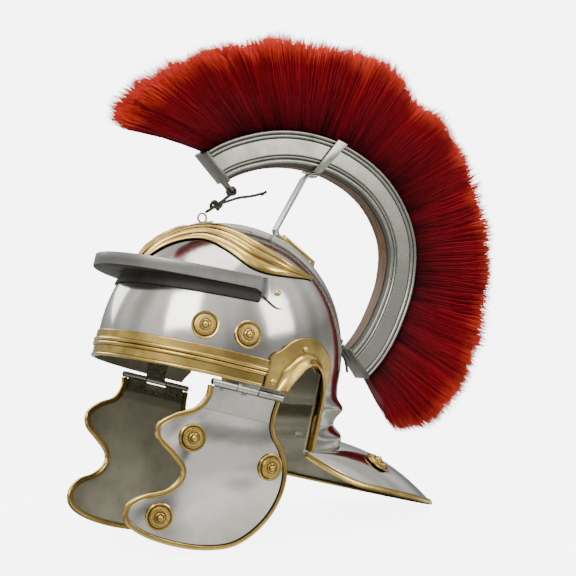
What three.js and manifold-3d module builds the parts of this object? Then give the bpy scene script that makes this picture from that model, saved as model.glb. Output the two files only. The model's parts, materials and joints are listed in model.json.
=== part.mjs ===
import * as THREE from 'three';
import { mergeVertices } from 'three/addons/utils/BufferGeometryUtils.js';
import Module from 'manifold-3d';

const wasm = await Module();
wasm.setup();

// Roman legionary helmet standing on its two cheek guards and its neck guard.
// The helmet frame has +Y to the back, +X to the wearer's left, +Z to the crown, and
// z = 0 at the lower edge of the brow. Millimetres and degrees throughout.

// Driving dimensions
const REST_TILT = 17.31;
const GAP = 0.3;
const STAND_OFF = 0.6;
const STEEL = 1.5;
const BRASS = 1.2;
const BOWL = { halfLength: 114.5, halfWidth: 95.5, wallTop: 24, domeHeight: 122, roundness: 2.1 };
const BOWL_COLUMNS = 48;
const DOME_ROWS = 6;

// Nape below the wall: height at the centre line and how far the plate swells out there
const NAPE_RIDGES = [
  { z: 13, swell: 2 },
  { z: 5, swell: 9 },
  { z: -4, swell: 4 },
  { z: -10, swell: 4 },
  { z: -16, swell: 12 },
  { z: -24, swell: 13 },
];
const NAPE = { frontAngle: 120, fadeAngle: 30, centreZ: -24, sideZ: -45 };
const GUARD_RIM = {
  halfWidth: 98, sideY: 120, backY: 244, z: -63, cornerX: 84.5, cornerY: 62, cornerZ: -49,
};
const GUARD_ROWS = 4;
const GUARD_DOME = 2;

// Ear opening seen from the side, from the front foot over the arch and down the nape
const EAR_EDGE = [
  { y: 14, z: 0.6 },
  { y: 17, z: 6 },
  { y: 24, z: 16 },
  { y: 31, z: 24.5 },
  { y: 40, z: 28.5 },
  { y: 49, z: 25 },
  { y: 55, z: 16 },
  { y: 58, z: 4 },
  { y: 58.4, z: -20 },
  { y: 58.6, z: -43 },
];

// Width of the ear guard along that edge, from the foot to the nape corner
const EAR_GUARD_WIDTH = [
  { along: 0, width: 21 },
  { along: 0.22, width: 24 },
  { along: 0.42, width: 22 },
  { along: 0.58, width: 11 },
  { along: 1, width: 9 },
];

// Section of the ear guard, from its outer edge (share 1) to its flared lip at the opening (0)
const EAR_LIP = 9;
const EAR_GUARD_SECTION = [
  { share: 1, proud: 1.7, back: 0 },
  { share: 0.6, proud: 1.7, back: 0 },
  { share: 0.28, proud: 2, back: 0 },
  { share: 0.1, proud: EAR_LIP * 0.55, back: 1.2 },
  { share: 0, proud: EAR_LIP, back: 1.2 },
];
const EAR_GUARD = { steps: 16, napeFrom: 0.5, lipThinning: 0.4, lowest: 0.6 };
const EAR_CUT = { below: -60, reach: 130, steps: 26 };

// Brow band section: proud of the bowl wall, and height
const BAND_SECTION = [
  { proud: 0.3, z: 0.2 },
  { proud: 2.3, z: 0.2 },
  { proud: 1.4, z: 2.6 },
  { proud: 1.4, z: 9.6 },
  { proud: 2.9, z: 11.4 },
  { proud: 1.7, z: 13.2 },
  { proud: 2.9, z: 15 },
  { proud: 1.4, z: 17 },
  { proud: 1.4, z: 23.6 },
  { proud: 0.3, z: 23.6 },
];
const BAND = { end: 86, slant: 0.12 };

// Brow guard: a bar of Z section round the forehead that ends in riveted ears
const VISOR = {
  halfLength: 135, halfWidth: 94, shelfZ: 78, flange: 11, strip: 11, endAngle: 79, rise: 3.5, steps: 20,
};
const VISOR_EAR = {
  y: -4, z: 82, radius: 13, frontY: -28, rootLift: 3.6, inset: 0.1, tip: 0.05, bend: 2.2, columns: 6,
};

// Eyebrow ornament in plan: lower and upper edge, from the brow to the tip behind the temple
const EYEBROW = [
  { lowX: 8, lowY: -101, highX: 3, highY: -96 },
  { lowX: 14, lowY: -93, highX: 3, highY: -84 },
  { lowX: 24, lowY: -80, highX: 6, highY: -66 },
  { lowX: 39, lowY: -63, highX: 16, highY: -50 },
  { lowX: 55, lowY: -50, highX: 32, highY: -37 },
  { lowX: 68, lowY: -37, highX: 49, highY: -24 },
  { lowX: 75.5, lowY: -24, highX: 60, highY: -9 },
  { lowX: 78, lowY: -6, highX: 67, highY: 6 },
  { lowX: 75, lowY: 16, highX: 68, highY: 22 },
  { lowX: 67, lowY: 38, highX: 64.5, highY: 38 },
];
const EYEBROW_FLUTES = [1.2, 3.4, 1.8, 4.2, 1.8, 3.4, 1.2];

// Cheek guard outline seen from the side, from the front of the hinge down and round
const CHEEK_EDGE = [
  { y: -50, z: -9.5 },
  { y: -49.5, z: -18 },
  { y: -56, z: -30 },
  { y: -72, z: -39 },
  { y: -82, z: -49 },
  { y: -80, z: -60 },
  { y: -66, z: -70 },
  { y: -54.5, z: -80 },
  { y: -53.5, z: -91 },
  { y: -63, z: -102 },
  { y: -79, z: -110 },
  { y: -88, z: -121 },
  { y: -84, z: -133 },
  { y: -66, z: -140.5 },
  { y: -38, z: -143.6 },
  { y: -10, z: -142 },
  { y: 14, z: -135 },
  { y: 31, z: -120 },
  { y: 42, z: -101 },
  { y: 46, z: -81 },
  { y: 43, z: -62 },
  { y: 33, z: -47 },
  { y: 22, z: -36 },
  { y: 18, z: -24 },
  { y: 18, z: -9.5 },
];
const CHEEK_STEPS = 36;
const CHEEK = {
  lean: 0.163, frontCurl: 0.0042, curlY: -45, fold: -28,
  bulge: 4.5, bulgeDrop: 115, bulgeY: -20, bulgeHalf: 75,
};
const CHEEK_SHEET = {
  top: -6, bottom: -152, front: -98, back: 56, rows: 8, columns: 11, from: 40, reach: 80,
};

// Folded edging: how far it reaches in and out over the rim, and its wall
const EDGING = { inward: 2.6, outward: 1.6, wall: 0.8, noseShare: 0.6 };
const CHEEK_ROSETTES = [
  { y: -53, z: -54 },
  { y: 26.5, z: -64 },
  { y: -61, z: -123 },
];

// Hinges of the cheek guards
const HINGE = {
  x: 90, z: -5, radius: 2.8, bore: 1.5, pin: 1.2, front: -50, back: 20, middleFront: -26, middleBack: -5,
};
const KNUCKLE_SIDES = 10;
const HINGE_LEAF = {
  up: 13, down: -20, thickness: 1.2, front: -45, back: 13,
  bowlClear: 0.5, cheekClear: 0.4, strap: 5, bend: -10,
};

// Corners of the leaves where they leave the barrels, from the hinge axis
const BOWL_LEAF_ROOT = { outerX: 2.2, outerZ: 1.5, innerX: 0.4, innerZ: 2.2, foot: 0.5, innerFoot: 1.2 };
const CHEEK_LEAF_ROOT = { outerX: -0.8, outerZ: -2.1, innerX: -2.1, innerZ: -0.8, top: -4.6, innerTop: -4 };

// Rosettes and rivets
const ROSETTE = { radius: 12, sides: 10, stand: 0.5 };
const ROSETTE_PROFILE = [
  { out: 0, up: 0 },
  { out: 1, up: 0 },
  { out: 1, up: 1.2 },
  { out: 0.8, up: 2.8 },
  { out: 0.3, up: 3.4 },
  { out: 0, up: 6.4 },
];
const BOWL_ROSETTES = { heights: 40, places: [-62, -27] };
const NECK_ROSETTE = { angles: [153, 207], out: 0.52, around: 3, outwards: 0.1 };
const VISOR_RIVET = { y: -5, z: 81 };
const EAR_RIVETS = [
  { y: 30, z: 40 },
  { y: 3, z: 6 },
];
const RIVET = { radius: 2.6, sides: 8 };
const RIVET_PROFILE = [
  { out: 0, up: 0 },
  { out: 1, up: 0 },
  { out: 0.8, up: 1.26 },
  { out: 0, up: 1.8 },
];

// Crest box: an arc in the middle plane, its outer radius at a few angles above horizontal
const CREST = {
  centreY: 54, centreZ: 122, height: 33, halfWidth: 10, frontAngle: 146, backAngle: -38, plate: 1.2,
};
const CREST_REACH = [
  { angle: -40, reach: 130 },
  { angle: -10, reach: 129.5 },
  { angle: 10, reach: 134 },
  { angle: 28, reach: 138 },
  { angle: 50, reach: 135.5 },
  { angle: 75, reach: 129.5 },
  { angle: 100, reach: 127.5 },
  { angle: 125, reach: 131 },
  { angle: 146, reach: 139.5 },
];
const CREST_STEPS = 16;
const CREST_BEAD = 1.1;
const CREST_LIP = 1.8;
const CREST_CAP = {
  turn: 1.6, gap: 0.25, lap: 0.5, over: 1, shoulder: 1.2, tabHalf: 4.5, tipHalf: 2.4, tipDrop: 2.4,
  hole: 1.9, holeInset: 4.2, holeLength: 30, frontTab: 13.5, backTab: 7,
};

// Plume: length of the hair beyond the box along the arc, and its spread
const PLUME_HAIR = [
  { angle: -40, length: 62 },
  { angle: -30, length: 92 },
  { angle: -14, length: 101 },
  { angle: 10, length: 97 },
  { angle: 45, length: 97 },
  { angle: 58, length: 98 },
  { angle: 64, length: 88 },
  { angle: 72, length: 98 },
  { angle: 100, length: 89 },
  { angle: 125, length: 88 },
  { angle: 138, length: 90 },
  { angle: 146, length: 86 },
];
const PLUME = {
  locks: 22, rootHalf: 7.6, tipHalf: 24, frontSplay: 14, backSplay: 1, notch: 5, groove: 3,
  rootOut: -0.6, inset: 0.4, middle: 0.72, endWidth: 0.55, endGrowth: 9, splayAt: 90,
};

// Section of the plume: share of its length, and share of the way from its root's width
const PLUME_SECTION = [
  { out: 0.2, from: 'middle', width: 0.55 },
  { out: 0.55, from: 'middle', width: 1 },
  { out: 0.86, from: 'tip', width: 1 },
  { out: 0.97, from: 'tip', width: 0.72 },
];

// Crest fittings
const STEM = { width: 10, thickness: 2.4 };
const STEM_ROUTE = [
  { y: 58, z: 212.4 },
  { y: 50, z: 211.8 },
  { y: 46, z: 206.8 },
  { y: 30, z: 158 },
  { y: 28, z: 152 },
  { y: 30, z: 148 },
  { y: 35.2, z: 145 },
];
const SLOT_PLATE = { frontY: 36, backY: 74, halfWidth: 6, rise: 9, backRise: 14, thickness: 2.4, foot: 5 };
const HOOK_RING = { radius: 4.2, wire: 1, stand: 1.2, points: 10, sides: 5 };
const HOOK_PLATE = { low: 0.5, edge: 1.7, crown: 1.9, endShare: 0.4, steps: 6 };
const TIE = { diameter: 2.6, sides: 8, strandSteps: 4, endSteps: 6, knotSides: 6, knotRows: 4 };
const STRAP = { frontAngle: 84, backAngle: 79, slant: 9, play: 0.9, lap: 1, thickness: 1.2 };
const FRONT_HOOK = { from: -63, to: -36, halfWidth: 4.5, ringAt: -46 };
const BACK_HOOK = { from: 102, to: 111.5, halfWidth: 6.5, ringAt: 107.5 };

// Ties from the crest box to the hooks, each with a knot and a free end
const FRONT_TIE = {
  knot: { x: 0, y: -37, z: 157, radius: 3.8 },
  loop: [{ x: 0, y: -45.2, z: 148.6 }, { x: 0, y: -37, z: 157 }, { x: 0, y: -25.8, z: 170.2 }],
  end: [
    { x: 0, y: -36, z: 158 },
    { x: 2, y: -30, z: 162 },
    { x: 3, y: -18, z: 169.5 },
    { x: 3, y: -5, z: 175 },
    { x: 3, y: 6, z: 181 },
  ],
};
const BACK_TIE = {
  knot: { x: 0, y: 122, z: 68, radius: 2.4 },
  loop: [{ x: 0, y: 119.6, z: 71 }, { x: 0, y: 122, z: 68 }, { x: 0, y: 124, z: 66.4 }],
  end: [
    { x: 1, y: 121.6, z: 66.5 },
    { x: 5, y: 121.2, z: 61 },
    { x: 8, y: 124.5, z: 54.5 },
    { x: 9, y: 128, z: 48 },
    { x: 9, y: 131.5, z: 40 },
  ],
};

const STEEL_COLOUR = 0xb9b9b0;
const BRASS_COLOUR = 0xc9a961;
const HAIR_COLOUR = 0x96201b;
const WOOD_COLOUR = 0x6b4a2f;
const CORD_COLOUR = 0x1d1b19;

const radians = THREE.MathUtils.degToRad;
const smooth = (value) => THREE.MathUtils.smoothstep(value, 0, 1);
const vector = (x, y, z) => new THREE.Vector3(x, y, z);

const steel = () => new THREE.MeshStandardMaterial({ color: STEEL_COLOUR, roughness: 0.25, metalness: 1 });
const brass = () => new THREE.MeshStandardMaterial({ color: BRASS_COLOUR, roughness: 0.3, metalness: 1 });
const hair = () => new THREE.MeshStandardMaterial({ color: HAIR_COLOUR, roughness: 0.8, metalness: 0 });
const wood = () => new THREE.MeshStandardMaterial({ color: WOOD_COLOUR, roughness: 0.7, metalness: 0 });
const cord = () => new THREE.MeshStandardMaterial({ color: CORD_COLOUR, roughness: 0.8, metalness: 0 });

// Value at a place along a short table, eased between its rows
function tableValue(rows, key, column, place) {
  if (place <= rows[0][key]) return rows[0][column];
  for (let i = 1; i < rows.length; i += 1) {
    if (place <= rows[i][key]) {
      const share = (place - rows[i - 1][key]) / (rows[i][key] - rows[i - 1][key]);
      return THREE.MathUtils.lerp(rows[i - 1][column], rows[i][column], smooth(share));
    }
  }
  return rows[rows.length - 1][column];
}

// Closed geometry from points and triangles, turned so that its faces point out
function closedGeometry(points, triangles) {
  const raw = new THREE.BufferGeometry();
  raw.setAttribute('position', new THREE.Float32BufferAttribute(points.flatMap((p) => [p.x, p.y, p.z]), 3));
  raw.setIndex(triangles.flat());
  const geometry = mergeVertices(raw, 1e-3);
  const position = geometry.getAttribute('position');
  const corner = (i) => new THREE.Vector3().fromBufferAttribute(position, i);
  const index = Array.from(geometry.getIndex().array);
  const kept = [];
  let volume = 0;
  for (let i = 0; i < index.length; i += 3) {
    const [a, b, c] = index.slice(i, i + 3);
    if (a === b || b === c || a === c) continue;
    kept.push(a, b, c);
    volume += corner(a).dot(corner(b).cross(corner(c)));
  }
  if (volume < 0) kept.reverse();
  geometry.setIndex(kept);
  return geometry;
}

function solidOf(geometry) {
  const bare = geometry.clone();
  bare.deleteAttribute('normal');
  bare.deleteAttribute('uv');
  const merged = mergeVertices(bare, 1e-4);
  return new wasm.Manifold(new wasm.Mesh({
    numProp: 3,
    vertProperties: new Float32Array(merged.getAttribute('position').array),
    triVerts: new Uint32Array(merged.getIndex().array),
  }));
}

function geometryOf(solid) {
  const mesh = solid.getMesh();
  const geometry = new THREE.BufferGeometry();
  geometry.setAttribute('position', new THREE.BufferAttribute(mesh.vertProperties, 3));
  geometry.setIndex(new THREE.BufferAttribute(mesh.triVerts, 1));
  return geometry;
}

const joined = (...geometries) => geometryOf(geometries.map(solidOf).reduce((all, next) => all.add(next)));
const cut = (geometry, tool) => geometryOf(solidOf(geometry).subtract(solidOf(tool)));
const common = (geometry, tool) => geometryOf(solidOf(geometry).intersect(solidOf(tool)));

// Copy on the other side of the middle plane
function mirrored(geometry) {
  const copy = geometry.clone();
  copy.scale(-1, 1, 1);
  copy.setIndex(Array.from(copy.getIndex().array).reverse());
  return copy;
}

// Wall between an outer and an inner grid of points; keep says which cells are there
function shell(outer, inner, wraps = false, keep = () => true) {
  const rows = outer.length;
  const columns = outer[0].length;
  const cells = wraps ? columns : columns - 1;
  const points = [...outer.flat(), ...inner.flat()];
  const at = (side, r, c) => side * rows * columns + r * columns + (c % columns);
  const there = (r, c) => {
    if (r < 0 || r >= rows - 1) return false;
    if (!wraps && (c < 0 || c >= cells)) return false;
    return keep(r, (c + cells) % cells);
  };
  const triangles = [];
  const quad = (a, b, c, d) => triangles.push([a, b, c], [a, c, d]);
  for (let r = 0; r < rows - 1; r += 1) {
    for (let c = 0; c < cells; c += 1) {
      if (!there(r, c)) continue;
      quad(at(0, r, c), at(0, r, c + 1), at(0, r + 1, c + 1), at(0, r + 1, c));
      quad(at(1, r, c), at(1, r + 1, c), at(1, r + 1, c + 1), at(1, r, c + 1));
      if (!there(r - 1, c)) quad(at(0, r, c), at(1, r, c), at(1, r, c + 1), at(0, r, c + 1));
      if (!there(r + 1, c)) quad(at(0, r + 1, c), at(0, r + 1, c + 1), at(1, r + 1, c + 1), at(1, r + 1, c));
      if (!there(r, c - 1)) quad(at(0, r, c), at(0, r + 1, c), at(1, r + 1, c), at(1, r, c));
      if (!there(r, c + 1)) quad(at(0, r, c + 1), at(1, r, c + 1), at(1, r + 1, c + 1), at(0, r + 1, c + 1));
    }
  }
  return closedGeometry(points, triangles);
}

// The same grid moved inwards by a thickness, along the mean normal at each point
function offsetGrid(grid, thickness, wraps = false) {
  const rows = grid.length;
  const columns = grid[0].length;
  return grid.map((row, r) => row.map((point, c) => {
    const left = grid[r][wraps ? (c + columns - 1) % columns : Math.max(c - 1, 0)];
    const right = grid[r][wraps ? (c + 1) % columns : Math.min(c + 1, columns - 1)];
    const along = right.clone().sub(left);
    const down = grid[Math.min(r + 1, rows - 1)][c].clone().sub(grid[Math.max(r - 1, 0)][c]);
    const normal = along.cross(down).normalize();
    return point.clone().addScaledVector(normal, thickness);
  }));
}

// Skin through rings of equal length, closed by its two ends
function loft(rings) {
  const sides = rings[0].length;
  const points = rings.flat();
  const triangles = [];
  for (let r = 0; r < rings.length - 1; r += 1) {
    for (let s = 0; s < sides; s += 1) {
      const next = (s + 1) % sides;
      const a = r * sides + s;
      const b = r * sides + next;
      triangles.push([a, b, b + sides], [a, b + sides, a + sides]);
    }
  }
  const endCap = (ring) => {
    const centre = ring.reduce((sum, p) => sum.add(p), vector(0, 0, 0)).divideScalar(sides);
    const normal = vector(0, 0, 0);
    ring.forEach((p, i) => {
      const q = ring[(i + 1) % sides];
      normal.add(p.clone().sub(centre).cross(q.clone().sub(centre)));
    });
    normal.normalize();
    const first = ring[0].clone().sub(centre).projectOnPlane(normal).normalize();
    const second = normal.clone().cross(first);
    const flat = ring.map((p) => {
      const d = p.clone().sub(centre);
      return new THREE.Vector2(d.dot(first), d.dot(second));
    });
    return THREE.ShapeUtils.triangulateShape(flat, []);
  };
  const last = (rings.length - 1) * sides;
  endCap(rings[0]).forEach(([a, b, c]) => triangles.push([a, c, b]));
  endCap(rings[rings.length - 1]).forEach(([a, b, c]) => triangles.push([last + a, last + b, last + c]));
  return closedGeometry(points, triangles);
}

// Surface of the dome over a point in plan, and its outward normal
function domePoint(x, y, proud = 0) {
  const ratio = Math.hypot(x / (BOWL.halfWidth + proud), y / (BOWL.halfLength + proud));
  const rise = Math.pow(Math.max(0, 1 - Math.pow(ratio, BOWL.roundness)), 1 / BOWL.roundness);
  return vector(x, y, BOWL.wallTop + (BOWL.domeHeight + proud) * rise);
}

function domeNormal(point) {
  const ratio = Math.hypot(point.x / BOWL.halfWidth, point.y / BOWL.halfLength);
  const around = Math.pow(ratio, BOWL.roundness - 2);
  const up = Math.pow((point.z - BOWL.wallTop) / BOWL.domeHeight, BOWL.roundness - 1) / BOWL.domeHeight;
  return vector(
    around * point.x / BOWL.halfWidth ** 2,
    around * point.y / BOWL.halfLength ** 2,
    up,
  ).normalize();
}

// Ring of the dome at an angle from the front and a height
function domeRing(angle, z, proud = 0) {
  const height = Math.max(0, z - BOWL.wallTop) / (BOWL.domeHeight + proud);
  const size = Math.pow(Math.max(0, 1 - Math.pow(height, BOWL.roundness)), 1 / BOWL.roundness);
  const a = radians(angle);
  return vector(
    (BOWL.halfWidth + proud) * size * Math.sin(a),
    -(BOWL.halfLength + proud) * size * Math.cos(a),
    z,
  );
}

// Share of the nape swell at an angle from the front
function napeFade(angle) {
  const fromCentre = Math.abs(angle - 180);
  return smooth((180 - NAPE.frontAngle - fromCentre) / NAPE.fadeAngle);
}

function napeSwell(angle, z) {
  const ridges = [{ z: BOWL.wallTop, swell: 0 }, ...NAPE_RIDGES];
  const rows = ridges.map((row) => ({ depth: -row.z, swell: row.swell }));
  return tableValue(rows, 'depth', 'swell', -z) * napeFade(angle);
}

// Outer face of the bowl side for a place seen from the side
function sideX(y, z, proud = 0) {
  if (z > BOWL.wallTop) {
    const height = (z - BOWL.wallTop) / (BOWL.domeHeight + proud);
    const size = Math.pow(1 - Math.pow(height, BOWL.roundness), 1 / BOWL.roundness);
    const length = (BOWL.halfLength + proud) * size;
    return (BOWL.halfWidth + proud) * size * Math.sqrt(Math.max(0, 1 - (y / length) ** 2));
  }
  const angle = 90 + THREE.MathUtils.radToDeg(Math.asin(y / BOWL.halfLength));
  const out = proud + (z < 0 ? napeSwell(Math.max(angle, NAPE.frontAngle), z) : 0);
  return (BOWL.halfWidth + out) * Math.sqrt(1 - (y / (BOWL.halfLength + out)) ** 2);
}

// Outer edge of the neck guard, from one nape corner (0) to the other (2)
function guardRim(share) {
  const side = share > 1 ? -1 : 1;
  const t = share > 1 ? 2 - share : share;
  const sideShare = 0.4;
  if (t < sideShare) {
    const turn = Math.sin((t / sideShare) * Math.PI / 2);
    return vector(
      side * THREE.MathUtils.lerp(GUARD_RIM.cornerX, GUARD_RIM.halfWidth, turn),
      THREE.MathUtils.lerp(GUARD_RIM.cornerY, GUARD_RIM.sideY, t / sideShare),
      THREE.MathUtils.lerp(GUARD_RIM.cornerZ, GUARD_RIM.z, turn),
    );
  }
  const turn = ((t - sideShare) / (1 - sideShare)) * Math.PI / 2;
  return vector(
    side * GUARD_RIM.halfWidth * Math.cos(turn),
    GUARD_RIM.sideY + (GUARD_RIM.backY - GUARD_RIM.sideY) * Math.sin(turn),
    GUARD_RIM.z,
  );
}

// Top face of the nape and neck guard: share round the nape, and row below the wall
function napeRow(angle, row) {
  const sideways = Math.abs(angle - 180) / (180 - NAPE.frontAngle);
  const foot = THREE.MathUtils.lerp(NAPE.centreZ, NAPE.sideZ, sideways ** 1.5);
  const stretch = (BOWL.wallTop - foot) / (BOWL.wallTop - NAPE.centreZ);
  const ridge = NAPE_RIDGES[Math.min(row, NAPE_RIDGES.length) - 1];
  const z = BOWL.wallTop + (ridge.z - BOWL.wallTop) * stretch;
  const joint = domeRing(angle, z, ridge.swell * napeFade(angle));
  if (row <= NAPE_RIDGES.length) return joint;
  const rim = guardRim((angle - NAPE.frontAngle) / (180 - NAPE.frontAngle));
  const out = (row - NAPE_RIDGES.length) / GUARD_ROWS;
  return vector(
    THREE.MathUtils.lerp(joint.x, rim.x, out),
    THREE.MathUtils.lerp(joint.y, rim.y, out),
    THREE.MathUtils.lerp(joint.z, rim.z, out ** GUARD_DOME),
  );
}

function bowlGrid() {
  const rows = [];
  const lower = NAPE_RIDGES.length + GUARD_ROWS;
  for (let r = 0; r <= DOME_ROWS + lower; r += 1) {
    const row = [];
    for (let c = 0; c < BOWL_COLUMNS; c += 1) {
      const angle = (360 * c) / BOWL_COLUMNS;
      const napes = Math.abs(angle - 180) <= 180 - NAPE.frontAngle;
      if (r <= DOME_ROWS) {
        const tilt = Math.cos((Math.PI / 2) * (r / DOME_ROWS));
        const level = Math.pow(tilt, 2 / BOWL.roundness);
        row.push(domeRing(angle, BOWL.wallTop + BOWL.domeHeight * level));
      } else if (napes) {
        row.push(napeRow(angle, r - DOME_ROWS));
      } else {
        row.push(domeRing(angle, -(r - DOME_ROWS - 1)));
      }
    }
    rows.push(row);
  }
  return rows;
}

// Block whose outline is seen from the side
function sideBlock(outline, from, depth) {
  const block = new THREE.ExtrudeGeometry(new THREE.Shape(outline), { depth, bevelEnabled: false });
  block.applyMatrix4(new THREE.Matrix4().makeBasis(vector(0, 1, 0), vector(0, 0, 1), vector(1, 0, 0)));
  block.translate(from, 0, 0);
  return block;
}

function earOpening() {
  const curve = new THREE.SplineCurve(EAR_EDGE.map((p) => new THREE.Vector2(p.y, p.z)));
  const edge = curve.getPoints(EAR_CUT.steps);
  const [front, back] = [edge[0].x, edge[edge.length - 1].x];
  const outline = [new THREE.Vector2(front, EAR_CUT.below), ...edge, new THREE.Vector2(back, EAR_CUT.below)];
  return sideBlock(outline, -EAR_CUT.reach, 2 * EAR_CUT.reach);
}

function makeBowl() {
  const outer = bowlGrid();
  const inner = offsetGrid(outer, STEEL, true);
  inner[0] = inner[0].map(() => vector(0, 0, BOWL.wallTop + BOWL.domeHeight - STEEL));
  const frontCells = (c) => {
    const middle = (360 * (c + 0.5)) / BOWL_COLUMNS;
    return middle < 100 || middle > 260;
  };
  const napeCells = (c) => Math.abs((360 * (c + 0.5)) / BOWL_COLUMNS - 180) < 180 - NAPE.frontAngle;
  const keep = (r, c) => r < DOME_ROWS || napeCells(c) || (r === DOME_ROWS && frontCells(c));
  return cut(shell(outer, inner, true, keep), earOpening());
}

// Band swept round the brow, its ends slanting along the ear guards
function makeBrowBand() {
  const column = 360 / BOWL_COLUMNS;
  const last = Math.floor(BAND.end / column) * column;
  const slanted = (sign) => BAND_SECTION.map((p) => domeRing(sign * (BAND.end + BAND.slant * p.z), p.z, p.proud));
  const rings = [slanted(-1)];
  for (let angle = -last; angle <= last; angle += column) {
    rings.push(BAND_SECTION.map((p) => domeRing(angle, p.z, p.proud)));
  }
  return loft([...rings, slanted(1)]);
}

// Plate of the bar's left end, bent from the bar on to the bowl and rounded behind
function visorEar() {
  const { columns, radius } = VISOR_EAR;
  const grid = [1, 0, -1].map((across) => {
    const row = [];
    for (let c = 0; c <= columns; c += 1) {
      const along = c / columns;
      const opened = smooth(along * 2);
      const y = THREE.MathUtils.lerp(VISOR_EAR.frontY, VISOR_EAR.y + radius, along);
      const round = Math.sqrt(Math.max(VISOR_EAR.tip, 1 - (Math.max(0, y - VISOR_EAR.y) / radius) ** 2));
      const half = THREE.MathUtils.lerp(VISOR.flange / 2, radius, opened) * round;
      const root = VISOR.shelfZ + VISOR.rise + VISOR_EAR.rootLift;
      const z = THREE.MathUtils.lerp(root, VISOR_EAR.z, opened) + half * across;
      const onBowl = sideX(y, z, STAND_OFF + STEEL);
      const onBar = VISOR.halfWidth * Math.sqrt(1 - (y / VISOR.halfLength) ** 2) - VISOR_EAR.inset;
      row.push(vector(THREE.MathUtils.lerp(onBar, onBowl, smooth(along * VISOR_EAR.bend)), y, z));
    }
    return row;
  });
  return shell(grid, grid.map((row) => row.map((p) => vector(p.x - STEEL, p.y, p.z))));
}

function makeVisor() {
  const rings = [];
  for (let i = 0; i <= VISOR.steps; i += 1) {
    const angle = THREE.MathUtils.lerp(-VISOR.endAngle, VISOR.endAngle, i / VISOR.steps);
    const shelf = VISOR.shelfZ + VISOR.rise * (Math.abs(angle) / VISOR.endAngle) ** 3;
    const a = radians(angle);
    const out = (z, inward) => vector(
      (VISOR.halfWidth - inward) * Math.sin(a),
      -(VISOR.halfLength - inward) * Math.cos(a),
      z,
    );
    rings.push([
      domeRing(angle, shelf - VISOR.strip, STAND_OFF),
      domeRing(angle, shelf - VISOR.strip, STAND_OFF + STEEL),
      domeRing(angle, shelf - STEEL, STAND_OFF + STEEL),
      out(shelf - STEEL, 0),
      out(shelf + VISOR.flange - STEEL, 0),
      out(shelf + VISOR.flange - STEEL, STEEL),
      out(shelf, STEEL),
      domeRing(angle, shelf, STAND_OFF),
    ]);
  }
  return joined(loft(rings), visorEar(), mirrored(visorEar()));
}

function makeEyebrow() {
  const lastProud = EYEBROW_FLUTES.length - 1;
  const edge = (x, y) => new THREE.SplineCurve(EYEBROW.map((row) => new THREE.Vector2(row[x], row[y])));
  const low = edge('lowX', 'lowY').getPoints(14);
  const high = edge('highX', 'highY').getPoints(14);
  const stations = low.map((p, i) => ({ lowX: p.x, lowY: p.y, highX: high[i].x, highY: high[i].y }));
  const rings = stations.map((row) => {
    const ring = EYEBROW_FLUTES.map((proud, i) => {
      const x = THREE.MathUtils.lerp(row.lowX, row.highX, i / lastProud);
      const y = THREE.MathUtils.lerp(row.lowY, row.highY, i / lastProud);
      return domePoint(x, y, 0).addScaledVector(domeNormal(domePoint(x, y, 0)), proud);
    });
    const under = [1, 0.5, 0].map((share) => {
      const x = THREE.MathUtils.lerp(row.lowX, row.highX, share);
      const y = THREE.MathUtils.lerp(row.lowY, row.highY, share);
      return domePoint(x, y, 0).addScaledVector(domeNormal(domePoint(x, y, 0)), 3 * GAP);
    });
    return [...ring, ...under];
  });
  return loft(rings);
}

function makeEarGuard() {
  const edge = new THREE.SplineCurve(EAR_EDGE.map((p) => new THREE.Vector2(p.y, p.z)));
  const outer = EAR_GUARD_SECTION.map(() => []);
  const inner = EAR_GUARD_SECTION.map(() => []);
  for (let i = 0; i <= EAR_GUARD.steps; i += 1) {
    const along = i / EAR_GUARD.steps;
    const place = edge.getPointAt(along);
    const tangent = edge.getTangentAt(along);
    const away = new THREE.Vector2(-tangent.y, tangent.x);
    if (i === 0) away.set(-1, 0);
    const width = tableValue(EAR_GUARD_WIDTH, 'along', 'width', along);
    const lowest = along > EAR_GUARD.napeFrom ? -Infinity : EAR_GUARD.lowest;
    EAR_GUARD_SECTION.forEach(({ share, proud, back }, row) => {
      const y = place.x + away.x * width * share;
      const z = Math.max(lowest, place.y + away.y * width * share);
      const x = sideX(y, z) + proud;
      inner[row].push(vector(x, y, z));
      outer[row].push(vector(x + BRASS - back * EAR_GUARD.lipThinning, y + away.x * back, z + away.y * back));
    });
  }
  return shell(outer, inner);
}

// Folded edging over the rim of a plate: outward and through directions at each stop
function edging(stops, plate) {
  const slot = plate / 2 + 2 * GAP;
  const { inward, outward, wall, noseShare } = EDGING;
  const section = [
    { out: -inward, through: slot },
    { out: -inward, through: slot + wall },
    { out: outward, through: slot + wall * noseShare },
    { out: outward, through: -slot - wall * noseShare },
    { out: -inward, through: -slot - wall },
    { out: -inward, through: -slot },
    { out: 2 * GAP, through: -slot },
    { out: 2 * GAP, through: slot },
  ];
  return loft(stops.map((stop) => section.map((p) => stop.place.clone()
    .addScaledVector(stop.outward, p.out)
    .addScaledVector(stop.through, p.through))));
}

function makeNeckEdging() {
  const outer = bowlGrid();
  const inner = offsetGrid(outer, STEEL, true);
  const last = outer.length - 1;
  const first = (NAPE.frontAngle / 360) * BOWL_COLUMNS;
  const stops = [];
  for (let c = first + 1; c < BOWL_COLUMNS - first; c += 1) {
    const place = outer[last][c].clone().add(inner[last][c]).multiplyScalar(0.5);
    const through = outer[last][c].clone().sub(inner[last][c]).normalize();
    const before = outer[last][Math.max(first, c - 1)];
    const after = outer[last][Math.min(BOWL_COLUMNS - first, c + 1)];
    const along = after.clone().sub(before).normalize();
    const outward = along.clone().cross(through).normalize();
    if (outward.dot(place) < 0) outward.negate();
    stops.push({ place, outward, through });
  }
  return edging(stops, STEEL);
}

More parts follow.
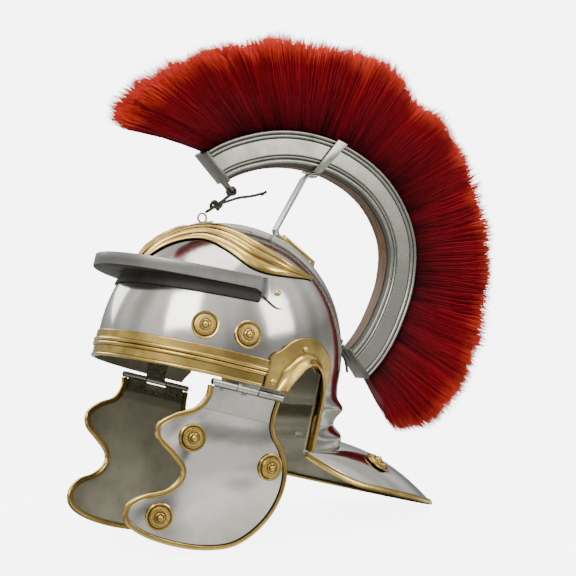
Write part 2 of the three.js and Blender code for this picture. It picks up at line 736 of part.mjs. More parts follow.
// Outer face of the cheek guard for a place seen from the side
function cheekX(y, z) {
  const curl = CHEEK.frontCurl * Math.max(0, CHEEK.curlY - y) ** 2;
  const below = Math.max(0, CHEEK.fold - z) / CHEEK.bulgeDrop;
  const across = Math.max(0, 1 - ((y - CHEEK.bulgeY) / CHEEK.bulgeHalf) ** 2);
  const bulge = CHEEK.bulge * Math.sin(Math.PI * Math.min(1, below)) * across;
  return HINGE.x - 1 + CHEEK.lean * (z - HINGE.z) - curl + bulge;
}

function cheekOutline() {
  const curve = new THREE.SplineCurve(CHEEK_EDGE.map((p) => new THREE.Vector2(p.y, p.z)));
  return curve.getSpacedPoints(CHEEK_STEPS);
}

function makeCheekPlate() {
  const { top, bottom, front, back, rows, columns, from, reach } = CHEEK_SHEET;
  const grid = [];
  for (let r = 0; r <= rows; r += 1) {
    const z = THREE.MathUtils.lerp(top, bottom, r / rows);
    const row = [];
    for (let c = 0; c <= columns; c += 1) {
      const y = THREE.MathUtils.lerp(front, back, c / columns);
      row.push(vector(cheekX(y, z), y, z));
    }
    grid.push(row);
  }
  const sheet = shell(grid, grid.map((row) => row.map((p) => vector(p.x - STEEL, p.y, p.z))));
  return common(sheet, sideBlock(cheekOutline(), from, reach));
}

function cheekNormal(y, z) {
  const step = 1;
  const alongY = vector(cheekX(y + step, z) - cheekX(y - step, z), 2 * step, 0);
  const alongZ = vector(cheekX(y, z + step) - cheekX(y, z - step), 0, 2 * step);
  return alongY.cross(alongZ).normalize();
}

function makeCheekEdging() {
  const outline = cheekOutline();
  const points = outline.map((p) => vector(cheekX(p.x, p.y), p.x, p.y));
  const stops = points.map((point, i) => {
    const before = points[Math.max(0, i - 1)];
    const after = points[Math.min(points.length - 1, i + 1)];
    const through = cheekNormal(point.y, point.z);
    const outward = after.clone().sub(before).cross(through).normalize();
    return { place: point.clone().add(vector(-STEEL / 2, 0, 0)), outward, through };
  });
  return edging(stops, STEEL);
}

// Tube along Y with a bore for the pin
function knuckle(from, to) {
  const profile = [
    new THREE.Vector2(HINGE.bore, 0),
    new THREE.Vector2(HINGE.radius, 0),
    new THREE.Vector2(HINGE.radius, to - from),
    new THREE.Vector2(HINGE.bore, to - from),
    new THREE.Vector2(HINGE.bore, 0),
  ];
  const tube = new THREE.LatheGeometry(profile, KNUCKLE_SIDES);
  tube.translate(HINGE.x, from, 0);
  tube.translate(0, 0, HINGE.z);
  return tube;
}

function leafAlong(from, to, sectionAt) {
  const rings = [0, 1 / 3, 2 / 3, 1].map((share) => {
    const y = THREE.MathUtils.lerp(from, to, share);
    return sectionAt(y).map(([x, z]) => vector(x, y, z));
  });
  return loft(rings);
}

function makeBowlHinge() {
  const from = HINGE.middleFront + GAP;
  const to = HINGE.middleBack - GAP;
  const leaf = leafAlong(from, to, (y) => {
    const root = BOWL_LEAF_ROOT;
    const face = sideX(y, -HINGE.z) - STEEL - HINGE_LEAF.bowlClear;
    return [
      [face, HINGE_LEAF.up],
      [face, root.foot],
      [HINGE.x + root.outerX, HINGE.z + root.outerZ],
      [HINGE.x + root.innerX, HINGE.z + root.innerZ],
      [face - HINGE_LEAF.thickness, root.innerFoot],
      [face - HINGE_LEAF.thickness, HINGE_LEAF.up],
    ];
  });
  return joined(knuckle(from, to), leaf);
}

// Back of the cheek plate, as far off as the leaves lie
const behindCheek = (y, z) => cheekX(y, z) - STEEL - HINGE_LEAF.cheekClear;

// Outer barrels with their leaves, and the thin strap behind the plate that joins the two
function makeCheekHinge() {
  const { down, thickness, front, back, strap, bend } = HINGE_LEAF;
  const root = CHEEK_LEAF_ROOT;
  const spans = [[HINGE.front, HINGE.middleFront], [HINGE.middleBack, HINGE.back]];
  const leaves = spans.map(([from, to]) => leafAlong(Math.max(from, front), Math.min(to, back), (y) => [
    [HINGE.x + root.outerX, HINGE.z + root.outerZ],
    [behindCheek(y, bend), HINGE.z + root.top],
    [behindCheek(y, down), down],
    [behindCheek(y, down) - thickness, down],
    [behindCheek(y, bend) - thickness, HINGE.z + root.innerTop],
    [HINGE.x + root.innerX, HINGE.z + root.innerZ],
  ]));
  const across = leafAlong(front, back, (y) => [
    [behindCheek(y, down), down],
    [behindCheek(y, down) - thickness, down],
    [behindCheek(y, down + strap) - thickness, down + strap],
    [behindCheek(y, down + strap), down + strap],
  ]);
  return joined(...spans.map(([from, to]) => knuckle(from, to)), ...leaves, across);
}

function makeHingePin() {
  const length = HINGE.back - HINGE.front + 2;
  const pin = new THREE.CylinderGeometry(HINGE.pin, HINGE.pin, length, 8);
  pin.translate(HINGE.x, (HINGE.front + HINGE.back) / 2, HINGE.z);
  return pin;
}

// Turned fastener with its back in the plane z = 0
function turnedHead(profile, { radius, sides }) {
  const head = new THREE.LatheGeometry(profile.map((p) => new THREE.Vector2(p.out * radius, p.up)), sides);
  head.rotateX(Math.PI / 2);
  return head;
}

const makeRosette = () => turnedHead(ROSETTE_PROFILE, ROSETTE);
const makeRivet = () => turnedHead(RIVET_PROFILE, RIVET);

// Crest arc in the middle plane
function crestPoint(angle, inward, x) {
  const reach = tableValue(CREST_REACH, 'angle', 'reach', angle) - inward;
  const a = radians(angle);
  return vector(x, CREST.centreY + reach * Math.cos(a), CREST.centreZ + reach * Math.sin(a));
}

function crestSweep(section, from = CREST.frontAngle, to = CREST.backAngle, steps = CREST_STEPS) {
  const rings = [];
  for (let i = 0; i <= steps; i += 1) {
    const angle = THREE.MathUtils.lerp(from, to, i / steps);
    rings.push(section.map((p) => crestPoint(angle, p.inward, p.x)));
  }
  return loft(rings);
}

function makeCrestSide() {
  const outside = CREST.halfWidth;
  const inside = CREST.halfWidth - CREST.plate;
  return crestSweep([
    { inward: 0, x: inside },
    { inward: 0, x: outside + CREST_BEAD },
    { inward: 3, x: outside + CREST_BEAD },
    { inward: 5, x: outside },
    { inward: CREST.height - 5, x: outside },
    { inward: CREST.height - 3, x: outside + CREST_BEAD * 0.7 },
    { inward: CREST.height, x: outside },
    { inward: CREST.height, x: inside - CREST_LIP },
    { inward: CREST.height - CREST.plate, x: inside - CREST_LIP },
    { inward: CREST.height - CREST.plate, x: inside },
  ]);
}

function makeCrestBlock() {
  const half = CREST.halfWidth - CREST.plate - GAP;
  return crestSweep([
    { inward: 1, x: half },
    { inward: 1, x: -half },
    { inward: CREST.height - CREST.plate - GAP, x: -half },
    { inward: CREST.height - CREST.plate - GAP, x: half },
  ]);
}

function makeCrestCap(angle, outward, tab) {
  const cap = CREST_CAP;
  const half = CREST.halfWidth + CREST_BEAD;
  const turn = outward * cap.turn;
  const plate = crestSweep([
    { inward: -cap.lap, x: half },
    { inward: -cap.lap, x: -half },
    { inward: CREST.height + cap.over, x: -half },
    { inward: CREST.height + cap.shoulder, x: -cap.tabHalf },
    { inward: CREST.height + tab - cap.tipDrop, x: -cap.tabHalf },
    { inward: CREST.height + tab, x: -cap.tipHalf },
    { inward: CREST.height + tab, x: cap.tipHalf },
    { inward: CREST.height + tab - cap.tipDrop, x: cap.tabHalf },
    { inward: CREST.height + cap.shoulder, x: cap.tabHalf },
    { inward: CREST.height + cap.over, x: half },
  ], angle + outward * cap.gap, angle + turn, 1);
  const hole = new THREE.CylinderGeometry(cap.hole, cap.hole, cap.holeLength, 8);
  const middle = crestPoint(angle + turn / 2, CREST.height + tab - cap.holeInset, 0);
  hole.rotateX(radians(angle));
  hole.translate(middle.x, middle.y, middle.z);
  return cut(plate, hole);
}

// Extra turn of the hair at the front and the back of the arc
function plumeSplay(share) {
  if (share < 0.5) return PLUME.frontSplay * (1 - smooth(share * 3));
  return -PLUME.backSplay * smooth(share * 3 - 2);
}

function makePlume() {
  const rings = [];
  const steps = PLUME.locks * 2;
  for (let i = 0; i <= steps; i += 1) {
    const share = i / steps;
    const angle = THREE.MathUtils.lerp(CREST.frontAngle - PLUME.inset, CREST.backAngle + PLUME.inset, share);
    const valley = i % 2 === 1 ? 1 : 0;
    const length = tableValue(PLUME_HAIR, 'angle', 'length', angle) - valley * PLUME.notch;
    const at = (out, x) => {
      const reach = tableValue(CREST_REACH, 'angle', 'reach', angle) + out;
      const a = radians(angle + plumeSplay(share) * Math.max(0, out) / PLUME.splayAt);
      return vector(x, CREST.centreY + reach * Math.cos(a), CREST.centreZ + reach * Math.sin(a));
    };
    const end = Math.min(1, Math.min(share, 1 - share) * PLUME.endGrowth + PLUME.endWidth);
    const widths = {
      tip: (PLUME.tipHalf - valley * PLUME.groove) * end,
      middle: (PLUME.tipHalf * PLUME.middle - valley * PLUME.groove / 2) * end,
    };
    const side = PLUME_SECTION.map(({ out, from, width }) => {
      const root = from === 'middle' ? PLUME.rootHalf : 0;
      return [length * out, THREE.MathUtils.lerp(root, widths[from], width)];
    });
    side.unshift([PLUME.rootOut, PLUME.rootHalf]);
    rings.push([
      ...side.map(([out, x]) => at(out, x)),
      at(length, 0),
      ...side.reverse().map(([out, x]) => at(out, -x)),
    ]);
  }
  return loft(rings);
}

// Round cord along a route
function cordAlong(route, steps) {
  const curve = new THREE.CatmullRomCurve3(route, false, 'centripetal');
  const section = new THREE.Shape(Array.from({ length: TIE.sides }, (_, i) => {
    const a = (2 * Math.PI * i) / TIE.sides;
    return new THREE.Vector2(Math.cos(a), Math.sin(a)).multiplyScalar(TIE.diameter / 2);
  }));
  const sweep = { steps, extrudePath: curve, curveSegments: 1, bevelEnabled: false };
  return new THREE.ExtrudeGeometry(section, sweep);
}

// Stem of the crest holder: a foot under the box, the strip, and the key in the slot plate
function makeStem() {
  const half = STEM.width / 2;
  const t = STEM.thickness / 2;
  const rings = STEM_ROUTE.map((p, i) => {
    const before = STEM_ROUTE[Math.max(0, i - 1)];
    const after = STEM_ROUTE[Math.min(STEM_ROUTE.length - 1, i + 1)];
    const slope = new THREE.Vector2(after.y - before.y, after.z - before.z).normalize();
    return [
      vector(half, p.y - slope.y * t, p.z + slope.x * t),
      vector(-half, p.y - slope.y * t, p.z + slope.x * t),
      vector(-half, p.y + slope.y * t, p.z - slope.x * t),
      vector(half, p.y + slope.y * t, p.z - slope.x * t),
    ];
  });
  return loft(rings);
}

// Strap over the sides of the crest box, slanting down to the stem's foot
function makeStrap() {
  const outside = CREST.halfWidth + CREST_BEAD + GAP;
  const bottom = CREST.height + STRAP.play;
  const wall = STRAP.thickness;
  const section = [
    { inward: -STRAP.lap, x: outside },
    { inward: -STRAP.lap, x: outside + wall },
    { inward: bottom + wall, x: outside + wall },
    { inward: bottom + wall, x: -outside - wall },
    { inward: -STRAP.lap, x: -outside - wall },
    { inward: -STRAP.lap, x: -outside },
    { inward: bottom, x: -outside },
    { inward: bottom, x: outside },
  ];
  return loft([STRAP.frontAngle, STRAP.backAngle].map((angle) => section.map((p) => {
    const turned = angle + STRAP.slant * (p.inward > 0 ? 1 : 0);
    return crestPoint(turned, p.inward, p.x);
  })));
}

// Bridge on the crown that takes the key: a flat plate on two feet
function makeSlotPlate() {
  const { frontY, backY, halfWidth, rise, backRise, thickness, foot } = SLOT_PLATE;
  const front = domePoint(0, frontY).z + rise;
  const slope = (domePoint(0, backY).z + backRise - front) / (backY - frontY);
  const top = (y) => front + slope * (y - frontY);
  const block = (from, to, under) => loft([from, to].map((y) => [
    vector(halfWidth, y, top(y)),
    vector(-halfWidth, y, top(y)),
    vector(-halfWidth, y, under(y)),
    vector(halfWidth, y, under(y)),
  ]));
  const onDome = (y) => domePoint(0, y).z + 2 * GAP;
  const plate = block(frontY, backY, (y) => top(y) - thickness);
  return joined(plate, block(frontY, frontY + foot, onDome), block(backY - foot, backY, onDome));
}

// Small plate on the dome with a standing ring, set by its place on the middle line
function makeHook({ from, to, halfWidth, ringAt }) {
  const { low, edge, crown, endShare, steps } = HOOK_PLATE;
  const rings = [];
  for (let i = 0; i <= steps; i += 1) {
    const place = THREE.MathUtils.lerp(from, to, i / steps);
    const half = i === 0 || i === steps ? halfWidth * endShare : halfWidth;
    const section = [[half, low], [half, edge], [0, crown], [-half, edge], [-half, low], [0, low]];
    rings.push(section.map(([x, proud]) => {
      const foot = domePoint(x, place);
      return foot.addScaledVector(domeNormal(foot), proud);
    }));
  }
  const foot = domePoint(0, ringAt);
  const up = domeNormal(foot);
  const centre = foot.clone().addScaledVector(up, HOOK_RING.radius + HOOK_RING.stand);
  const along = vector(1, 0, 0).cross(up);
  const loop = Array.from({ length: HOOK_RING.points }, (_, i) => {
    const a = (2 * Math.PI * i) / HOOK_RING.points;
    return centre.clone().addScaledVector(along, HOOK_RING.radius * Math.cos(a))
      .addScaledVector(up, HOOK_RING.radius * Math.sin(a));
  });
  return joined(loft(rings), loopOf(loop, HOOK_RING.wire, HOOK_RING.sides));
}

// Tie of cord: a strand between hook and box, its knot, and the free end
function makeTie({ knot, loop, end }) {
  const places = (route) => route.map((p) => vector(p.x, p.y, p.z));
  const ball = new THREE.SphereGeometry(knot.radius, TIE.knotSides, TIE.knotRows);
  ball.translate(knot.x, knot.y, knot.z);
  return joined(cordAlong(places(loop), TIE.strandSteps), cordAlong(places(end), TIE.endSteps), ball);
}

// Closed ring of round wire through a flat loop of points
function loopOf(loop, radius, sides) {
  const centre = loop.reduce((sum, p) => sum.add(p), vector(0, 0, 0)).divideScalar(loop.length);
  const normal = loop[0].clone().sub(centre).cross(loop[3].clone().sub(centre)).normalize();
  const rings = loop.map((p) => {
    const out = p.clone().sub(centre).normalize();
    return Array.from({ length: sides }, (_, s) => {
      const a = (2 * Math.PI * s) / sides;
      const [wide, high] = [radius * Math.cos(a), radius * Math.sin(a)];
      return p.clone().addScaledVector(out, wide).addScaledVector(normal, high);
    });
  });
  const points = rings.flat();
  const triangles = [];
  for (let r = 0; r < rings.length; r += 1) {
    for (let s = 0; s < sides; s += 1) {
      const a = r * sides + s;
      const b = r * sides + ((s + 1) % sides);
      const c = ((r + 1) % rings.length) * sides + ((s + 1) % sides);
      const d = ((r + 1) % rings.length) * sides + s;
      triangles.push([a, b, c], [a, c, d]);
    }
  }
  return closedGeometry(points, triangles);
}

// Assembly
const helmet = new THREE.Group();
helmet.rotation.x = -radians(REST_TILT);

function add(parent, name, geometry, material) {
  const mesh = new THREE.Mesh(geometry, material);
  mesh.name = name;
  parent.add(mesh);
  return mesh;
}

// A fastener whose back lies on a surface, turned to the surface's normal
function addOn(parent, name, geometry, material, place, normal, proud) {
  const mesh = add(parent, name, geometry, material);
  mesh.position.copy(place).addScaledVector(normal, proud);
  mesh.quaternion.setFromUnitVectors(vector(0, 0, 1), normal);
  return mesh;
}

const SIDES = [{ name: 'left', sign: 1 }, { name: 'right', sign: -1 }];
const onSide = (geometry, sign) => (sign > 0 ? geometry : mirrored(geometry));
const flipped = (point, sign) => vector(point.x * sign, point.y, point.z);

add(helmet, 'bowl', makeBowl(), steel());
add(helmet, 'brow_band', makeBrowBand(), brass());
add(helmet, 'brow_guard', makeVisor(), steel());
add(helmet, 'neck_guard_edging', makeNeckEdging(), brass());

SIDES.forEach(({ name, sign }) => {
  add(helmet, `eyebrow_${name}`, onSide(makeEyebrow(), sign), brass());
  add(helmet, `ear_guard_${name}`, onSide(makeEarGuard(), sign), brass());
  BOWL_ROSETTES.places.forEach((y, i) => {
    const place = vector(sideX(y, BOWL_ROSETTES.heights), y, BOWL_ROSETTES.heights);
    const label = `bowl_rosette_${name}_${i + 1}`;
    addOn(helmet, label, makeRosette(), brass(), flipped(place, sign), flipped(domeNormal(place), sign), GAP);
  });
  [VISOR_RIVET, ...EAR_RIVETS].forEach((spot, i) => {
    const proud = i === 0 ? STAND_OFF + STEEL + GAP : EAR_GUARD_SECTION[0].proud + BRASS + GAP;
    const place = vector(sideX(spot.y, spot.z), spot.y, spot.z);
    const normal = spot.z > BOWL.wallTop ? domeNormal(place) : vector(1, 0, 0);
    const label = i === 0 ? `brow_guard_rivet_${name}` : `ear_rivet_${name}_${i}`;
    addOn(helmet, label, makeRivet(), brass(), flipped(place, sign), flipped(normal, sign), proud);
  });
  add(helmet, `bowl_hinge_${name}`, onSide(makeBowlHinge(), sign), steel());
  add(helmet, `hinge_pin_${name}`, onSide(makeHingePin(), sign), steel());
  add(helmet, `cheek_guard_${name}`, onSide(makeCheekPlate(), sign), steel());
  add(helmet, `cheek_edging_${name}`, onSide(makeCheekEdging(), sign), brass());
  add(helmet, `cheek_hinge_${name}`, onSide(makeCheekHinge(), sign), steel());
  CHEEK_ROSETTES.forEach((spot, i) => {
    const place = vector(cheekX(spot.y, spot.z), spot.y, spot.z);
    const normal = flipped(cheekNormal(spot.y, spot.z), sign);
    const label = `cheek_rosette_${name}_${i + 1}`;
    addOn(helmet, label, makeRosette(), brass(), flipped(place, sign), normal, ROSETTE.stand);
  });
  add(helmet, `crest_side_${name}`, onSide(makeCrestSide(), sign), steel());
});

NECK_ROSETTE.angles.forEach((angle, i) => {
  const at = (turn, out) => napeRow(turn, NAPE_RIDGES.length + out * GUARD_ROWS);
  const place = at(angle, NECK_ROSETTE.out);
  const around = at(angle + NECK_ROSETTE.around, NECK_ROSETTE.out).sub(place);
  const outwards = at(angle, NECK_ROSETTE.out + NECK_ROSETTE.outwards).sub(place);
  const normal = outwards.cross(around).normalize();
  if (normal.z < 0) normal.negate();
  addOn(helmet, `neck_rosette_${i + 1}`, makeRosette(), brass(), place, normal, STAND_OFF);
});

add(helmet, 'crest_block', makeCrestBlock(), wood());
add(helmet, 'crest_cap_front', makeCrestCap(CREST.frontAngle, 1, CREST_CAP.frontTab), steel());
add(helmet, 'crest_cap_back', makeCrestCap(CREST.backAngle, -1, CREST_CAP.backTab), steel());
add(helmet, 'plume', makePlume(), hair());
add(helmet, 'crest_stem', makeStem(), steel());
add(helmet, 'slot_plate', makeSlotPlate(), brass());
add(helmet, 'crest_strap', makeStrap(), steel());
add(helmet, 'front_hook', makeHook(FRONT_HOOK), steel());
add(helmet, 'back_hook', makeHook(BACK_HOOK), steel());
add(helmet, 'front_tie', makeTie(FRONT_TIE), cord());
add(helmet, 'back_tie', makeTie(BACK_TIE), cord());

const helmetOnFloor = new THREE.Group();
helmetOnFloor.add(helmet);
helmetOnFloor.updateMatrixWorld(true);
const box = new THREE.Box3().setFromObject(helmetOnFloor, true);
helmet.position.set(0, -(box.min.y + box.max.y) / 2, -box.min.z);

export default helmetOnFloor;
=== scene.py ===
"""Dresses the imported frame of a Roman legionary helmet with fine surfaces, hair and finishes.

Shapes are worked out in the helmet's own frame, in millimetres: +Y to the back, +X to the
wearer's left, +Z to the crown, with z = 0 at the lower edge of the brow. Rest turns them
into the row frame, in metres.
"""

from __future__ import annotations

import json
import logging
import math
from dataclasses import dataclass, field
from enum import Enum
from typing import Callable, Iterable, Sequence, TypeVar

import bmesh
import bpy
from mathutils import Matrix, Vector, noise


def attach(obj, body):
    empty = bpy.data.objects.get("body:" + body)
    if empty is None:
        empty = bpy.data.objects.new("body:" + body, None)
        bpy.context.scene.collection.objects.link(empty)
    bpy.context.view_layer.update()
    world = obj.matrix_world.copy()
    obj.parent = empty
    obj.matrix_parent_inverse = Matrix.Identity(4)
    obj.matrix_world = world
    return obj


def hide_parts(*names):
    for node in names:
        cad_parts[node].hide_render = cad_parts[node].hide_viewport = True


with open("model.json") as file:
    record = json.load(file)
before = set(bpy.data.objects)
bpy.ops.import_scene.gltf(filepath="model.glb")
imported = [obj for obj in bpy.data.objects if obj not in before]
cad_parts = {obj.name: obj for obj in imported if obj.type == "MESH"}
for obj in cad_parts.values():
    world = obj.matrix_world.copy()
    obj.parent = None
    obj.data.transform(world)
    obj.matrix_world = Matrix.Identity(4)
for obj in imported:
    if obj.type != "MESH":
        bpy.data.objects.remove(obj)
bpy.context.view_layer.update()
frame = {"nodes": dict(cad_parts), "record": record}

LOG = logging.getLogger("helmet")
MM = 0.001
Rings = list[list[Vector]]
Faces = list[tuple[int, ...]]
Shape = tuple[Sequence[Vector], Faces]
Stop = tuple[Vector, Vector, Vector]
Table = Sequence[tuple[float, float]]
Triple = tuple[float, float, float]
Four = tuple[float, float, float, float]
Value = TypeVar("Value", float, Vector)


class Side(Enum):
    """The wearer's left or right."""

    LEFT = 1
    RIGHT = -1

    @property
    def label(self) -> str:
        """The word that the side's nodes end in."""
        return self.name.lower()


class Cut(Enum):
    """What a tool does to a solid."""

    AWAY = "DIFFERENCE"
    COMMON = "INTERSECT"


@dataclass(frozen=True)
class Rest:
    """How the helmet leans as it stands on its cheek guards and neck guard."""

    lean: float
    origin: Vector

    @classmethod
    def from_frame(cls, hinge: Vector) -> "Rest":
        """Works out the lean from the left cheek hinge.

        Args:
            hinge: The hinge's place in the helmet's own frame.

        Returns:
            The lean and the place of the helmet's own origin.
        """
        joints = frame["record"]["behaviour"]["joints"]
        joint = next(j for j in joints if j["name"] == "cheek_left_hinge")
        lean = math.atan2(joint["axis"][2], -joint["axis"][1])
        turn = Matrix.Rotation(-lean, 3, "X")
        return cls(lean, Vector(joint["pos_m"]) / MM - turn @ hinge)

    @property
    def turn(self) -> Matrix:
        """Rotation from the helmet's own frame to the row frame."""
        return Matrix.Rotation(-self.lean, 3, "X")

    def place(self, point: Vector) -> Vector:
        """A point of the helmet's own frame, in the row frame."""
        return (self.turn @ point + self.origin) * MM


HINGE_CENTRE = Vector((90, -15, -5))
REST = Rest.from_frame(HINGE_CENTRE)


def lerp(a: float, b: float, share: float) -> float:
    """The value that lies that share of the way from a to b."""
    return a + (b - a) * share


def smooth(value: float) -> float:
    """The share from 0 to 1, eased at both ends."""
    held = min(1.0, max(0.0, value))
    return held * held * (3 - 2 * held)


def table_value(rows: Table, place: float) -> float:
    """Reads a short table, eased between its rows.

    Args:
        rows: Pairs of place and value, in rising order of place.
        place: Where to read.

    Returns:
        The value there.
    """
    if place <= rows[0][0]:
        return rows[0][1]
    for before, after in zip(rows, rows[1:]):
        if place <= after[0]:
            return lerp(before[1], after[1], smooth((place - before[0]) / (after[0] - before[0])))
    return rows[-1][1]


def curve_value(rows: Table, place: float) -> float:
    """Reads a short table along a smooth curve through its rows.

    Args:
        rows: Pairs of place and value, in rising order of place.
        place: Where to read.

    Returns:
        The value there.
    """
    if place <= rows[0][0] or place >= rows[-1][0]:
        return rows[0][1] if place <= rows[0][0] else rows[-1][1]
    i = next(k for k in range(len(rows) - 1) if place <= rows[k + 1][0])

    def slope(k: int) -> float:
        """Slope of the curve at a row."""
        a, b = rows[max(0, k - 1)], rows[min(len(rows) - 1, k + 1)]
        return (b[1] - a[1]) / (b[0] - a[0])

    wide = rows[i + 1][0] - rows[i][0]
    t = (place - rows[i][0]) / wide
    return (
        (2 * t ** 3 - 3 * t ** 2 + 1) * rows[i][1] + (t ** 3 - 2 * t ** 2 + t) * wide * slope(i)
        + (3 * t ** 2 - 2 * t ** 3) * rows[i + 1][1] + (t ** 3 - t ** 2) * wide * slope(i + 1)
    )


def through(a: Value, b: Value, c: Value, d: Value, t: float) -> Value:
    """Value a share t of the way from b to c, on a smooth curve that also fits a and d."""
    return 0.5 * (
        (2 * b) + (c - a) * t + (2 * a - 5 * b + 4 * c - d) * t * t + (3 * b - a - 3 * c + d) * t ** 3
    )


def spline(points: Sequence[Sequence[float]], count: int) -> list[Vector]:
    """Evenly spaced points along a smooth curve.

    Args:
        points: The points that the curve passes through.
        count: How many points to return.

    Returns:
        Points from the first to the last, equal distances apart.
    """
    knots = [Vector(p) for p in points]
    steps = 20
    fine: list[Vector] = []
    for i in range(len(knots) - 1):
        around = (knots[max(0, i - 1)], knots[i], knots[i + 1], knots[min(len(knots) - 1, i + 2)])
        fine += [through(*around, k / steps) for k in range(steps)]
    fine.append(knots[-1])
    lengths = [0.0]
    for p, q in zip(fine, fine[1:]):
        lengths.append(lengths[-1] + (q - p).length)
    even: list[Vector] = []
    k = 0
    for i in range(count):
        want = lengths[-1] * i / (count - 1)
        while k < len(fine) - 2 and lengths[k + 1] < want:
            k += 1
        step = max(1e-9, lengths[k + 1] - lengths[k])
        even.append(fine[k].lerp(fine[k + 1], min(1.0, (want - lengths[k]) / step)))
    return even


def bead(place: float, centre: float, half: float) -> float:
    """Height of a round bead at a place, 1 at its centre."""
    return max(0.0, 1 - ((place - centre) / half) ** 2) ** 0.5


def groove(place: float, centre: float, width: float) -> float:
    """Depth of a soft groove at a place, 1 at its centre."""
    return math.exp(-(((place - centre) / width) ** 2))


def turns(count: int) -> list[float]:
    """Angles all round a circle, in radians."""
    return [2 * math.pi * i / count for i in range(count)]


def quads(rows: int, columns: int, wraps: bool = False, closed: bool = False) -> Faces:
    """Faces between the points of a grid.

    Args:
        rows: How many rows of points.
        columns: Points in a row.
        wraps: Whether each row is a loop.
        closed: Whether the last row meets the first.

    Returns:
        One face for each cell.
    """
    faces: Faces = []
    for r in range(rows if closed else rows - 1):
        here, after = r * columns, (r + 1) % rows * columns
        for c in range(columns if wraps else columns - 1):
            d = (c + 1) % columns
            faces.append((here + c, here + d, after + d, after + c))
    return faces


def loft(rings: Rings, closed: bool = False) -> Shape:
    """Skin through rings of equal length, closed by its two ends.

    Args:
        rings: The sections, each a loop of points.
        closed: Whether the last ring meets the first, in place of the ends.

    Returns:
        Points and faces.
    """
    sides = len(rings[0])
    faces = quads(len(rings), sides, True, closed)
    if not closed:
        last = (len(rings) - 1) * sides
        faces += [tuple(reversed(range(sides))), tuple(range(last, last + sides))]
    return [p for ring in rings for p in ring], faces


def shell(
    outer: Rings, inner: Rings, wraps: bool = False, keep: Callable[[int, int], bool] | None = None
) -> Shape:
    """Wall between two grids of points.

    Args:
        outer: Rows of points on the outer face.
        inner: Rows of points on the inner face.
        wraps: Whether the last column meets the first.
        keep: Says which cells are there.

    Returns:
        Points and faces of the closed wall.
    """
    rows, columns = len(outer), len(outer[0])
    cells = columns if wraps else columns - 1

    def there(r: int, c: int) -> bool:
        """Whether the wall has this cell."""
        if not 0 <= r < rows - 1 or (not wraps and not 0 <= c < cells):
            return False
        return keep is None or keep(r, c % cells)

    def at(side: int, r: int, c: int) -> int:
        """Index of a grid point."""
        return side * rows * columns + r * columns + c % columns

    faces: Faces = []
    for r in range(rows - 1):
        for c in range(cells):
            if not there(r, c):
                continue
            faces.append((at(0, r, c), at(0, r, c + 1), at(0, r + 1, c + 1), at(0, r + 1, c)))
            faces.append((at(1, r, c), at(1, r + 1, c), at(1, r + 1, c + 1), at(1, r, c + 1)))
            if not there(r - 1, c):
                faces.append((at(0, r, c), at(1, r, c), at(1, r, c + 1), at(0, r, c + 1)))
            if not there(r + 1, c):
                faces.append((at(0, r + 1, c), at(0, r + 1, c + 1), at(1, r + 1, c + 1), at(1, r + 1, c)))
            if not there(r, c - 1):
                faces.append((at(0, r, c), at(0, r + 1, c), at(1, r + 1, c), at(1, r, c)))
            if not there(r, c + 1):
                faces.append((at(0, r, c + 1), at(1, r, c + 1), at(1, r + 1, c + 1), at(0, r + 1, c + 1)))
    points = [p for row in outer for p in row] + [p for row in inner for p in row]
    return points, faces


def offset_grid(grid: Rings, thickness: float, wraps: bool = False) -> Rings:
    """The same grid moved inwards along its normals.

    Args:
        grid: Rows of points.
        thickness: How far inwards.
        wraps: Whether the last column meets the first.

    Returns:
        The moved rows.
    """
    rows, columns = len(grid), len(grid[0])
    moved: Rings = []
    for r in range(rows):
        line: list[Vector] = []
        for c in range(columns):
            left = grid[r][(c - 1) % columns] if wraps else grid[r][max(0, c - 1)]
            right = grid[r][(c + 1) % columns] if wraps else grid[r][min(columns - 1, c + 1)]
            down = grid[min(r + 1, rows - 1)][c] - grid[max(r - 1, 0)][c]
            line.append(grid[r][c] + (right - left).cross(down).normalized() * thickness)
        moved.append(line)
    return moved


def shade(mesh: bpy.types.Mesh, crease: float) -> None:
    """Shades a mesh smooth, with edges sharper than the crease angle left sharp."""
    mesh.polygons.foreach_set("use_smooth", [True] * len(mesh.polygons))
    mesh.set_sharp_from_angle(angle=math.radians(crease))
    mesh.update()


def linked(name: str, mesh: bpy.types.Mesh) -> bpy.types.Object:
    """A new object at the origin that shows a mesh."""
    obj = bpy.data.objects.new(name, mesh)
    bpy.context.scene.collection.objects.link(obj)
    return obj


def store(mesh: bpy.types.Mesh, name: str, values: Sequence[float]) -> None:
    """Stores a number for each point of a mesh."""
    mesh.attributes.new(name, "FLOAT", "POINT").data.foreach_set("value", values)


def tidied(mesh: bpy.types.Mesh, distance: float = 1e-6, flat: bool = False) -> None:
    """Merges the points that meet and turns every face outwards.

    Args:
        mesh: The mesh to work on.
        distance: How near points count as one.
        flat: Whether faces in one plane become one.
    """
    body = bmesh.new()
    body.from_mesh(mesh)
    bmesh.ops.remove_doubles(body, verts=body.verts, dist=distance)
    if flat:
        bmesh.ops.dissolve_limit(body, angle_limit=math.radians(1), verts=body.verts, edges=body.edges)
    bmesh.ops.recalc_face_normals(body, faces=body.faces)
    body.to_mesh(mesh)
    body.free()


def lathed(name: str, profile: Table, sides: int, finish: bpy.types.Material) -> bpy.types.Object:
    """Turned head of a fastener about +Z in millimetres, its back in the plane z = 0.

    Args:
        name: The object's name.
        profile: Pairs of reach and height.
        sides: Corners of its outline.
        finish: Its material.

    Returns:
        The object, at the origin.
    """
    mesh = bpy.data.meshes.new(name)
    points = [
        (reach * math.cos(turn), reach * math.sin(turn), z) for reach, z in profile for turn in turns(sides)
    ]
    mesh.from_pydata(points, [], quads(len(profile), sides, True))
    tidied(mesh, 1e-4)
    mesh.materials.append(finish)
    return linked(name, mesh)


